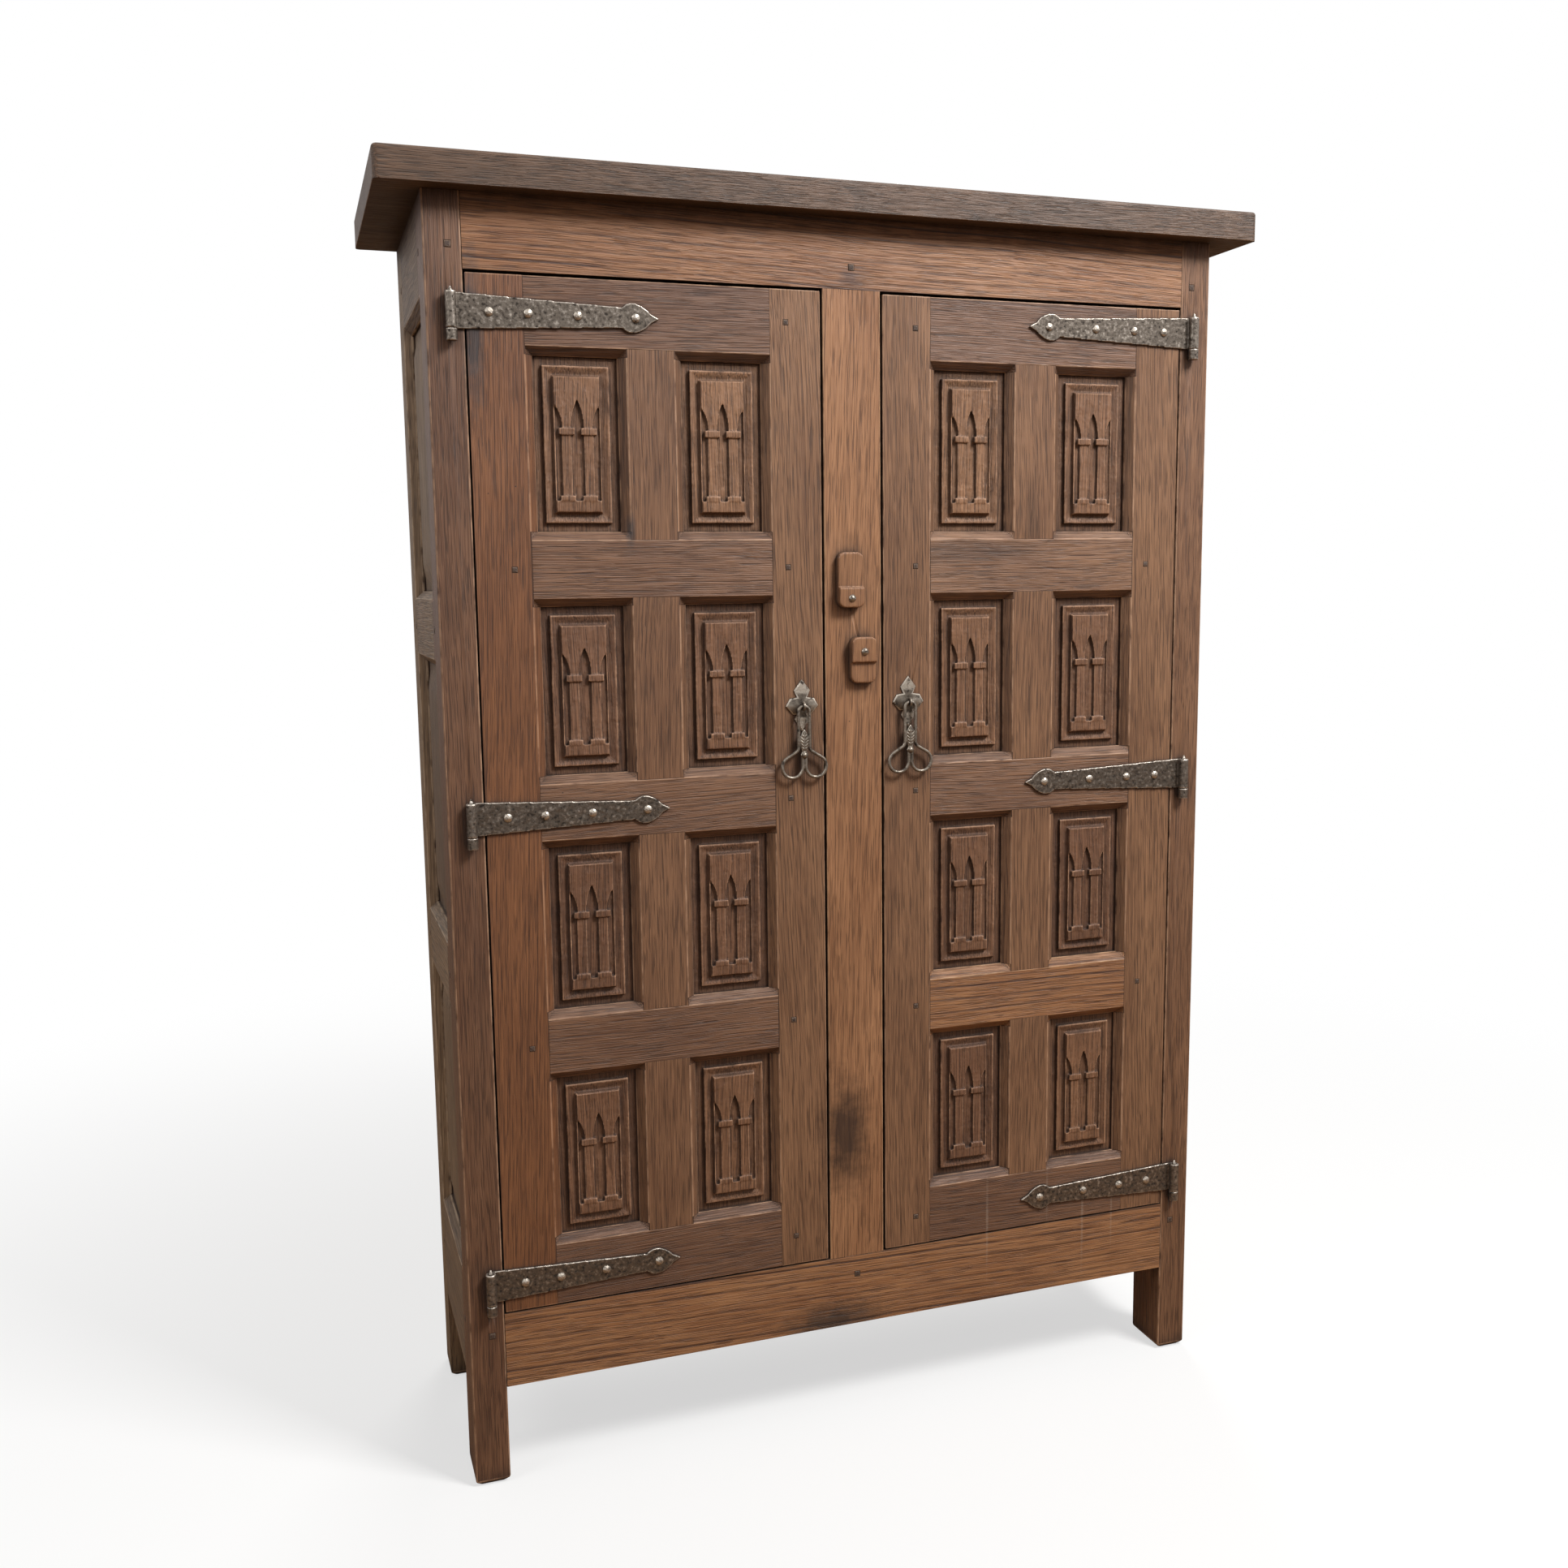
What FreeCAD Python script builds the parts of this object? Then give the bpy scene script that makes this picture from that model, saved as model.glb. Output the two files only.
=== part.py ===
"""Trastero: a free-standing oak cabinet with two panelled doors.

Millimetres. X runs to the right, Y from the doors to the back and Z up. The origin is under the middle
of the cabinet, on the floor. Four posts carry tenoned rails, fielded side panels, a back of boards,
a floor and two shelves, and a thick top board. Each door is a frame of stiles, rails and muntins
round eight carved panels. It swings on three strap hinges over pintles, is pulled open by a drop
handle, and is held shut by a turn button on the centre post.
"""
import FreeCAD
import Part
import Sketcher

import math
import os

doc = FreeCAD.newDocument("Trastero")
sheet = doc.addObject("Spreadsheet::Sheet", "Sizes")
names_in_sheet = []
nodes = []

LEFT = -1
RIGHT = 1


class Length:
    """A length in millimetres together with the formula that gives it from the sheet."""

    def __init__(self, value, text):
        self.value = value
        self.text = text

    def __add__(self, other):
        other = as_length(other)
        return Length(self.value + other.value, f"({self.text} + {other.text})")

    def __sub__(self, other):
        other = as_length(other)
        return Length(self.value - other.value, f"({self.text} - {other.text})")

    def __neg__(self):
        return Length(-self.value, f"(0 - {self.text})")

    def __mul__(self, share):
        return Length(self.value * share, f"({self.text} * {share})")

    def __truediv__(self, other):
        if isinstance(other, Length):
            return Length(self.value / other.value, f"({self.text} / {other.text})")
        return Length(self.value / other, f"({self.text} / {other})")


def as_length(thing):
    """Lets a plain zero stand in a sum of lengths."""
    return thing if isinstance(thing, Length) else Length(thing, str(thing))


def size(alias, value):
    """Writes one driving size in the sheet and returns it."""
    names_in_sheet.append(alias)
    row = len(names_in_sheet)
    sheet.set(f"A{row}", alias)
    sheet.set(f"B{row}", str(value))
    sheet.setAlias(f"B{row}", alias)
    return Length(value, f"Sizes.{alias}")


def derived(alias, length):
    """Writes a place that follows from the driving sizes in the sheet, and returns its name."""
    names_in_sheet.append(alias)
    row = len(names_in_sheet)
    sheet.set(f"A{row}", alias)
    sheet.set(f"B{row}", "=" + length.text.replace("Sizes.", ""))
    sheet.setAlias(f"B{row}", alias)
    return Length(length.value, f"Sizes.{alias}")


# Carcass
carcass_width = size("carcass_width", 1054)
carcass_height = size("carcass_height", 1600)
board_depth = size("board_depth", 374)
board_thickness = size("board_thickness", 38)
side_overhang = size("side_overhang", 54)
front_overhang = size("front_overhang", 29)
board_corner_radius = size("board_corner_radius", 7)
board_arris_radius = size("board_arris_radius", 4)
post_width = size("post_width", 44)
front_post_depth = size("front_post_depth", 70)
rear_post_depth = size("rear_post_depth", 60)
foot_bevel = size("foot_bevel", 6)
leg_height = size("leg_height", 130)
top_rail_height = size("top_rail_height", 87)
bottom_rail_height = size("bottom_rail_height", 99)
rail_thickness = size("rail_thickness", 32)
mullion_width = size("mullion_width", 78.5)
mullion_thickness = size("mullion_thickness", 30)

# Joinery of the carcass
tenon_thickness = size("tenon_thickness", 11)
tenon_length = size("tenon_length", 32)
tenon_shoulder = size("tenon_shoulder", 10)
tenon_setback = size("tenon_setback", 10)
mortise_gap = size("mortise_gap", 1)
stub_height = size("stub_height", 12)
stub_shoulder = size("stub_shoulder", 10)
peg_width = size("peg_width", 8)
peg_length = size("peg_length", 40)
peg_proud = size("peg_proud", 0.6)
peg_inset = size("peg_inset", 27)

# Side frames
side_rail_thickness = size("side_rail_thickness", 28)
side_top_rail_height = size("side_top_rail_height", 120)
side_middle_rail_height = size("side_middle_rail_height", 94)
side_bottom_rail_height = size("side_bottom_rail_height", 150)
side_bevel_width = size("side_bevel_width", 26)
side_bevel_height = size("side_bevel_height", 6)

# Inside and back
shelf_thickness = size("shelf_thickness", 20)
shelf_fit_gap = size("shelf_fit_gap", 0.5)
cleat_size = size("cleat_size", 20)
cleat_rise = size("cleat_rise", 30)
back_board_thickness = size("back_board_thickness", 12)
rebate_width = size("rebate_width", 12)
nail_radius = size("nail_radius", 1.5)
nail_head_radius = size("nail_head_radius", 4)
nail_head_height = size("nail_head_height", 1)
nail_length = size("nail_length", 28)
BACK_BOARD_COUNT = 6

# Doors
door_thickness = size("door_thickness", 28)
hinge_side_gap = size("hinge_side_gap", 2)
lock_side_gap = size("lock_side_gap", 3)
door_top_gap = size("door_top_gap", 3.5)
door_bottom_gap = size("door_bottom_gap", 2)
stile_width = size("stile_width", 67)
muntin_width = size("muntin_width", 60)
end_rail_height = size("end_rail_height", 80)
middle_rail_height = size("middle_rail_height", 70)
chamfer = size("chamfer", 10)
door_tenon_length = size("door_tenon_length", 45)
muntin_tenon_length = size("muntin_tenon_length", 20)
door_tenon_shoulder = size("door_tenon_shoulder", 10)
door_peg_width = size("door_peg_width", 7)
door_peg_inset = size("door_peg_inset", 21)
panel_recess = size("panel_recess", 14)
panel_edge = size("panel_edge", 8)
groove_depth = size("groove_depth", 8)
panel_slack = size("panel_slack", 1)
PANEL_ROWS = 4
PANEL_COLUMNS = 2

# Carved door panel, from its edge to its middle
panel_margin = size("panel_margin", 10.5)
fillet_rise = size("fillet_rise", 3)
fillet_width = size("fillet_width", 5)
bevel_width = size("bevel_width", 7.5)
bevel_rise = size("bevel_rise", 4.5)
field_rise = size("field_rise", 1)
carving_depth = size("carving_depth", 3.5)
field_border = size("field_border", 1)

# The arcade as shares of its field's width and height
column_spacing_share = 0.5
column_width_share = 0.22
base_width_share = 0.33
capital_width_share = 0.35
plinth_height_share = 0.082
base_height_share = 0.038
capital_height_share = 0.05
capital_drop_share = 0.377
arch_rise_share = 0.214
side_arch_rise_share = 0.17

# Hinges
hinge_axis_inset = size("hinge_axis_inset", 28)
hinge_axis_front = size("hinge_axis_front", 8)
knuckle_radius = size("knuckle_radius", 6.5)
knuckle_height = size("knuckle_height", 42)
pin_radius = size("pin_radius", 3)
pin_fit_gap = size("pin_fit_gap", 0.05)
pin_tip_height = size("pin_tip_height", 5)
boss_height = size("boss_height", 14)
boss_gap = size("boss_gap", 0.3)
spike_radius = size("spike_radius", 4)
spike_length = size("spike_length", 30)
strap_thickness = size("strap_thickness", 3)
strap_length = size("strap_length", 249)
strap_head_length = size("strap_head_length", 46)
strap_neck_height = size("strap_neck_height", 24)
strap_head_height = size("strap_head_height", 35)
strap_head_shoulder = size("strap_head_shoulder", 3)
strap_tip_length = size("strap_tip_length", 11)
strap_tip_height = size("strap_tip_height", 11)
rivet_place_shares = (0.177, 0.361, 0.598, 0.88)
rivet_radius = size("rivet_radius", 2.5)
rivet_head_radius = size("rivet_head_radius", 5.5)
rivet_head_height = size("rivet_head_height", 3)
left_top_hinge_shift = size("left_top_hinge_shift", -4)
left_middle_hinge_shift = size("left_middle_hinge_shift", -2.5)
left_bottom_hinge_shift = size("left_bottom_hinge_shift", -2.5)
right_top_hinge_shift = size("right_top_hinge_shift", 9)
right_middle_hinge_shift = size("right_middle_hinge_shift", 2)
right_bottom_hinge_shift = size("right_bottom_hinge_shift", 0.5)

# Drop handles
pull_rise = size("pull_rise", 84.75)
left_pull_inset = size("left_pull_inset", 30)
right_pull_inset = size("right_pull_inset", 34.5)
pull_wire_radius = size("pull_wire_radius", 2)
pull_half_width = size("pull_half_width", 7.5)
pull_bar_length = size("pull_bar_length", 45)
pull_flare_radius = size("pull_flare_radius", 8)
pull_loop_radius = size("pull_loop_radius", 14)
pull_loop_drop = size("pull_loop_drop", 26)
pull_loop_inset = size("pull_loop_inset", 2.2)
pull_end_rise = size("pull_end_rise", 17)
leaf_top = size("leaf_top", 30)
leaf_middle = size("leaf_middle", 46)
leaf_foot = size("leaf_foot", 59)
leaf_end = size("leaf_end", 67)
leaf_width = size("leaf_width", 13)
leaf_foot_width = size("leaf_foot_width", 6)
leaf_bud_width = size("leaf_bud_width", 10)
leaf_thickness = size("leaf_thickness", 3)
bud_arc_share = 1.2
staple_gap = size("staple_gap", 0.6)
staple_wire_radius = size("staple_wire_radius", 1.6)
staple_spike_radius = size("staple_spike_radius", 2)
staple_spike_length = size("staple_spike_length", 20)
plate_thickness = size("plate_thickness", 2.5)
plate_top = size("plate_top", 34)
plate_top_shoulder = size("plate_top_shoulder", 20)
plate_top_width = size("plate_top_width", 22)
plate_neck_height = size("plate_neck_height", 11)
plate_neck_width = size("plate_neck_width", 13)
plate_width = size("plate_width", 44)
plate_side_width = size("plate_side_width", 33)
plate_side_height = size("plate_side_height", 9.5)
plate_side_foot = size("plate_side_foot", 11)
plate_side_foot_width = size("plate_side_foot_width", 25)
plate_stem_width = size("plate_stem_width", 14)
plate_stem_spread = size("plate_stem_spread", 20)
plate_stem_shoulder = size("plate_stem_shoulder", 17)
plate_stem_foot = size("plate_stem_foot", 34)

# Turn buttons
button_height = size("button_height", 35)
button_gap = size("button_gap", 0.3)
button_corner_radius = size("button_corner_radius", 9)
tongue_thickness = size("tongue_thickness", 9)
pivot_thickness = size("pivot_thickness", 13)
pivot_reach = size("pivot_reach", 14)
button_edge_radius = size("button_edge_radius", 2)
upper_button_x = size("upper_button_x", -6)
upper_button_rise = size("upper_button_rise", 221.75)
upper_button_tongue = size("upper_button_tongue", 59)
upper_button_tail = size("upper_button_tail", 12)
lower_button_x = size("lower_button_x", 11)
lower_button_rise = size("lower_button_rise", 152.75)
lower_button_tongue = size("lower_button_tongue", 41)
lower_button_tail = size("lower_button_tail", 19)
screw_radius = size("screw_radius", 2.5)
screw_fit_gap = size("screw_fit_gap", 0.08)
screw_depth = size("screw_depth", 36)
screw_head_radius = size("screw_head_radius", 4.8)
screw_head_height = size("screw_head_height", 3)
screw_slot_width = size("screw_slot_width", 1.2)
screw_slot_depth = size("screw_slot_depth", 1.2)

# How far a cutter runs past the face it cuts
overrun = size("overrun", 1)

# Places that follow from the sizes
half_width = derived("half_width", carcass_width / 2)
post_inner = derived("post_inner", half_width - post_width)
side_inner = derived("side_inner", half_width - side_rail_thickness)
front = derived("front", front_overhang - board_depth / 2)
back = derived("back", board_depth / 2)
front_post_back = derived("front_post_back", front + front_post_depth)
rear_post_front = derived("rear_post_front", back - rear_post_depth)
bottom_rail_top = derived("bottom_rail_top", leg_height + bottom_rail_height)
top_rail_foot = derived("top_rail_foot", carcass_height - top_rail_height)
mullion_half = derived("mullion_half", mullion_width / 2)
side_opening_height = derived(
    "side_opening_height",
    (carcass_height - leg_height - side_top_rail_height - side_bottom_rail_height
     - side_middle_rail_height * 2) / 3)
side_opening_width = derived("side_opening_width", rear_post_front - front_post_back)
door_lock_edge = derived("door_lock_edge", mullion_half + lock_side_gap)
door_hinge_edge = derived("door_hinge_edge", post_inner - hinge_side_gap)
door_foot = derived("door_foot", bottom_rail_top + door_bottom_gap)
door_top = derived("door_top", top_rail_foot - door_top_gap)
opening_width = derived(
    "opening_width",
    (door_hinge_edge - door_lock_edge - stile_width * 2 - muntin_width) / PANEL_COLUMNS)
opening_height = derived(
    "opening_height",
    (door_top - door_foot - end_rail_height * 2 - middle_rail_height * (PANEL_ROWS - 1)) / PANEL_ROWS)
row_pitch = derived("row_pitch", opening_height + middle_rail_height)
middle_rail_top = derived(
    "middle_rail_top", door_foot + end_rail_height + row_pitch * (PANEL_ROWS // 2))
pull_height = derived("pull_height", middle_rail_top + pull_rise)
upper_button_z = derived("upper_button_z", middle_rail_top + upper_button_rise)
lower_button_z = derived("lower_button_z", middle_rail_top + lower_button_rise)
hinge_x = derived("hinge_x", half_width - hinge_axis_inset)
hinge_y = derived("hinge_y", front - hinge_axis_front)
pull_inset = {LEFT: left_pull_inset, RIGHT: right_pull_inset}


# Objects of the document

def bind(item, prop, length):
    """Binds one property of an object to a length."""
    item.setExpression(prop, as_length(length).text)


def add(kind, **lengths):
    """Adds a primitive whose sizes are bound to lengths."""
    item = doc.addObject(kind, kind.split("::")[1])
    for prop, length in lengths.items():
        bind(item, prop, length)
    return item


def place(item, x, y, z, turn=None):
    """Puts an object at a place given in lengths, and turns it there."""
    if turn is not None:
        item.Placement = FreeCAD.Placement(FreeCAD.Vector(), turn)
    for axis, length in zip("xyz", (x, y, z)):
        bind(item, f"Placement.Base.{axis}", length)
    return item


def turned(x, y, z, degrees):
    """A rotation about an axis."""
    return FreeCAD.Rotation(FreeCAD.Vector(x, y, z), degrees)


UPRIGHT = turned(0, 0, 1, 0)
TO_FRONT = turned(1, 0, 0, 90)
TO_BACK = turned(1, 0, 0, -90)


def block(low, high):
    """A box between two corners."""
    low = [as_length(v) for v in low]
    high = [as_length(v) for v in high]
    item = add("Part::Box", Length=high[0] - low[0], Width=high[1] - low[1], Height=high[2] - low[2])
    return place(item, *low)


def sided(side, near, far):
    """The X range of what lies between two distances from the middle, on the left or the right."""
    return (near, far) if side == RIGHT else (-far, -near)


def at_side(side, x):
    """The X of a distance from the middle, on the left or the right."""
    return as_length(x) if side == RIGHT else -as_length(x)


def cylinder(radius, length, x, y, z, turn=UPRIGHT):
    return place(add("Part::Cylinder", Radius=radius, Height=length), x, y, z, turn)


def frustum(width, height, deep_width, deep_height, start, end):
    """A block along Y whose section changes from one width and height to another."""
    return add("Part::Wedge",
               Xmin=-width / 2, Xmax=width / 2, Zmin=-height / 2, Zmax=height / 2,
               X2min=-deep_width / 2, X2max=deep_width / 2,
               Z2min=-deep_height / 2, Z2max=deep_height / 2,
               Ymin=start, Ymax=end)


def fuse(items):
    if len(items) == 1:
        return items[0]
    item = doc.addObject("Part::MultiFuse", "Fusion")
    item.Shapes = items
    item.Refine = True
    return item


def common(items):
    item = doc.addObject("Part::MultiCommon", "Common")
    item.Shapes = items
    return item


def cut(base, tools):
    if not tools:
        return base
    item = doc.addObject("Part::Cut", "Cut")
    item.Base = base
    item.Tool = fuse(tools)
    item.Refine = True
    return item


def copy_of(item, x, y, z, turn=None):
    """A linked copy of an object at another place."""
    link = doc.addObject("App::Link", "Copy")
    link.LinkedObject = item
    return place(link, x, y, z, turn)


def keep(item, name):
    """Makes an object a sub-part of the cabinet, under its own name."""
    item.Label = name
    nodes.append(item)
    return item


def keep_group(items, name):
    """Keeps separate solids of one kind together as one sub-part."""
    item = doc.addObject("Part::Compound", "Group")
    item.Links = items
    return keep(item, name)


class Timber:
    """One wooden piece: blocks that are joined, less the cutters for its mortises, grooves and holes."""

    def __init__(self, name, low, high):
        self.name = name
        self.blocks = [block(low, high)]
        self.cutters = []

    def solid(self):
        return cut(fuse(self.blocks), self.cutters)

    def keep(self):
        return keep(self.solid(), self.name)


def tenon(rail, post, low, high, axis, direction):
    """Gives the rail a tenon between two corners, and the post its mortise, a little deeper."""
    rail.blocks.append(block(low, high))
    deep_low = [as_length(v) for v in low]
    deep_high = [as_length(v) for v in high]
    if direction > 0:
        deep_high[axis] = deep_high[axis] + mortise_gap
    else:
        deep_low[axis] = deep_low[axis] - mortise_gap
    post.cutters.append(block(deep_low, deep_high))


# Sketches

def new_sketch(body, name, role, offset=0):
    """A sketch on one of the body's own planes, or a distance along the normal from it."""
    sketch = body.newObject("Sketcher::SketchObject", name)
    plane = [item for item in body.Origin.OriginFeatures if item.Role == role][0]
    sketch.AttachmentSupport = (plane, [""])
    sketch.MapMode = "FlatFace"
    bind(sketch, "AttachmentOffset.Base.z", offset)
    return sketch


def dimension(sketch, kind, *ends_and_length):
    """Adds one dimension and binds it to its length."""
    ends = ends_and_length[:-1]
    length = as_length(ends_and_length[-1])
    number = sketch.addConstraint(Sketcher.Constraint(kind, *ends, length.value))
    sketch.setExpression(f"Constraints[{number}]", length.text)


def pin_point(sketch, edge, end, point):
    """Holds the end of an edge at a place measured from the sketch's origin."""
    dimension(sketch, "DistanceX", -1, 1, edge, end, point[0])
    dimension(sketch, "DistanceY", -1, 1, edge, end, point[1])


def arc_between(start, end, radius, hollow):
    """The short arc from one point to the next, bulging to the right of the way, or hollow."""
    a = FreeCAD.Vector(start[0].value, start[1].value, 0)
    b = FreeCAD.Vector(end[0].value, end[1].value, 0)
    chord = b - a
    rise = math.sqrt(radius.value ** 2 - (chord.Length / 2) ** 2)
    to_centre = FreeCAD.Vector(-chord.y, chord.x, 0).normalize() * rise
    centre = (a + b) / 2 + (-to_centre if hollow else to_centre)
    if hollow:
        a, b = b, a
    circle = Part.Circle(centre, FreeCAD.Vector(0, 0, 1), radius.value)
    return Part.ArcOfCircle(circle, math.atan2(a.y - centre.y, a.x - centre.x),
                            math.atan2(b.y - centre.y, b.x - centre.x))


def outline(sketch, points, arcs=None, hollows=None):
    """Draws a closed outline, anticlockwise, with arcs where a radius is given for an edge."""
    arcs = arcs or {}
    hollows = hollows or {}
    points = [(as_length(u), as_length(v)) for u, v in points]
    ends = []
    for i, start in enumerate(points):
        end = points[(i + 1) % len(points)]
        radius = arcs.get(i) or hollows.get(i)
        if radius is None:
            edge = sketch.addGeometry(Part.LineSegment(
                FreeCAD.Vector(start[0].value, start[1].value, 0),
                FreeCAD.Vector(end[0].value, end[1].value, 0)))
        else:
            edge = sketch.addGeometry(arc_between(start, end, radius, i in hollows))
        ends.append((edge, 2, 1) if i in hollows else (edge, 1, 2))
    for i, (edge, start, end) in enumerate(ends):
        following = ends[(i + 1) % len(ends)]
        sketch.addConstraint(Sketcher.Constraint("Coincident", edge, end, following[0], following[1]))
    for i, (edge, start, end) in enumerate(ends):
        pin_point(sketch, edge, start, points[i])
        radius = arcs.get(i) or hollows.get(i)
        if radius is not None:
            dimension(sketch, "Radius", edge, radius)


def circle(sketch, x, y, radius):
    centre = FreeCAD.Vector(as_length(x).value, as_length(y).value, 0)
    edge = sketch.addGeometry(Part.Circle(centre, FreeCAD.Vector(0, 0, 1), radius.value))
    dimension(sketch, "Radius", edge, radius)
    pin_point(sketch, edge, 3, (x, y))


def pad(body, sketch, length, midplane=False):
    """Raises a sketch by a length, to both sides alike if midplane is set."""
    feature = body.newObject("PartDesign::Pad", "Pad")
    feature.Profile = sketch
    bind(feature, "Length", length)
    feature.Midplane = midplane
    return feature


def round_rectangle(sketch, left, right, foot, top, radius):
    """A rectangle with rounded corners."""
    outline(sketch,
            [(left + radius, foot), (right - radius, foot), (right, foot + radius), (right, top - radius),
             (right - radius, top), (left + radius, top), (left, top - radius), (left, foot + radius)],
            arcs={1: radius, 3: radius, 5: radius, 7: radius})


# Top board

def build_top_board():
    """A thick board with rounded corners and softened arrises, sunk over the posts' stub tenons."""
    body = doc.addObject("PartDesign::Body", "TopBoard")
    sketch = new_sketch(body, "BoardOutline", "XY_Plane", carcass_height)
    reach = half_width + side_overhang
    round_rectangle(sketch, -reach, reach, -board_depth / 2, board_depth / 2, board_corner_radius)
    slab = pad(body, sketch, board_thickness)
    doc.recompute()
    fillet = body.newObject("PartDesign::Fillet", "Arris")
    top_face = [f"Face{i + 1}" for i, face in enumerate(slab.Shape.Faces)
                if abs(face.CenterOfMass.z - slab.Shape.BoundBox.ZMax) < board_arris_radius.value / 2]
    fillet.Base = (slab, top_face)
    bind(fillet, "Radius", board_arris_radius)
    return body


# Carcass

def post(name, side, depth_low, depth_high):
    """A post with its stub tenon at the top. Its foot is bevelled where it meets the floor."""
    low_x, high_x = sided(side, post_inner, half_width)
    depth = depth_high - depth_low
    piece = Timber(name, (low_x, depth_low, foot_bevel), (high_x, depth_high, carcass_height))
    foot = frustum(post_width - foot_bevel * 2, depth - foot_bevel * 2, post_width, depth, 0, foot_bevel)
    piece.blocks.append(place(foot, (low_x + high_x) / 2, (depth_low + depth_high) / 2, 0, TO_FRONT))
    piece.stub = ((low_x + stub_shoulder, depth_low + stub_shoulder, carcass_height),
                  (high_x - stub_shoulder, depth_high - stub_shoulder, carcass_height + stub_height))
    piece.blocks.append(block(*piece.stub))
    return piece


def cross_rail(name, posts, foot, top, outer, inward):
    """A rail between two posts, with a tenon at each end. Its outer face is at the Y given."""
    inner = outer + rail_thickness * inward
    low_y, high_y = (outer, inner) if inward > 0 else (inner, outer)
    piece = Timber(name, (-post_inner, low_y, foot), (post_inner, high_y, top))
    near = outer + tenon_setback * inward
    far = near + tenon_thickness * inward
    low_t, high_t = (near, far) if inward > 0 else (far, near)
    for side, target in zip((LEFT, RIGHT), posts):
        low_x, high_x = sided(side, post_inner, post_inner + tenon_length)
        tenon(piece, target, (low_x, low_t, foot + tenon_shoulder),
              (high_x, high_t, top - tenon_shoulder), 0, side)
    return piece


def peg_along_y(face, inward, x, z, width, length, pieces):
    """A square peg driven in from a front or back face, with its hole in each piece it passes.

    It stands a little proud at the front and is flush at the back.
    """
    start = face - peg_proud if inward > 0 else face
    end = face + length * inward
    low_y, high_y = (start, end) if inward > 0 else (end, start)
    low = (x - width / 2, low_y, z - width / 2)
    high = (x + width / 2, high_y, z + width / 2)
    for piece in pieces:
        piece.cutters.append(block(low, high))
    return block(low, high)


def peg_along_x(side, y, z, pieces):
    """A square peg driven in from the cabinet's side, with its hole in each piece it passes."""
    low_x, high_x = sided(side, half_width - peg_length, half_width + peg_proud)
    low = (low_x, y - peg_width / 2, z - peg_width / 2)
    high = (high_x, y + peg_width / 2, z + peg_width / 2)
    for piece in pieces:
        piece.cutters.append(block(low, high))
    return block(low, high)


def side_rails(side, word, front_post, rear_post):
    """The four rails of one side frame, from the foot up."""
    heights = [("bottom", side_bottom_rail_height), ("lower", side_middle_rail_height),
               ("upper", side_middle_rail_height), ("top", side_top_rail_height)]
    low_x, high_x = sided(side, side_inner, half_width)
    near_x = half_width - tenon_setback - tenon_thickness
    low_t, high_t = sided(side, near_x, half_width - tenon_setback)
    rails = []
    foot = leg_height
    for place_word, height in heights:
        top = foot + height
        rail = Timber(f"{word}_side_{place_word}_rail", (low_x, front_post_back, foot),
                      (high_x, rear_post_front, top))
        tenon(rail, front_post, (low_t, front_post_back - tenon_length, foot + tenon_shoulder),
              (high_t, front_post_back, top - tenon_shoulder), 1, -1)
        tenon(rail, rear_post, (low_t, rear_post_front, foot + tenon_shoulder),
              (high_t, rear_post_front + tenon_length, top - tenon_shoulder), 1, 1)
        rail.foot = foot
        rail.top = top
        rail.middle = (foot + top) / 2
        rails.append(rail)
        foot = top + side_opening_height
    return rails


def fielded_panel():
    """The plain side panel: a board in its grooves with one wide bevel rising to a flat field."""
    width = side_opening_width + (groove_depth - panel_slack) * 2
    height = side_opening_height + (groove_depth - panel_slack) * 2
    board = block((-width / 2, panel_recess, -height / 2), (width / 2, panel_recess + panel_edge, height / 2))
    margin = panel_margin * 2
    bevel = side_bevel_width * 2
    field = frustum(side_opening_width - margin - bevel, side_opening_height - margin - bevel,
                    side_opening_width - margin, side_opening_height - margin,
                    panel_recess - side_bevel_height, panel_recess)
    return fuse([board, field])


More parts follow.
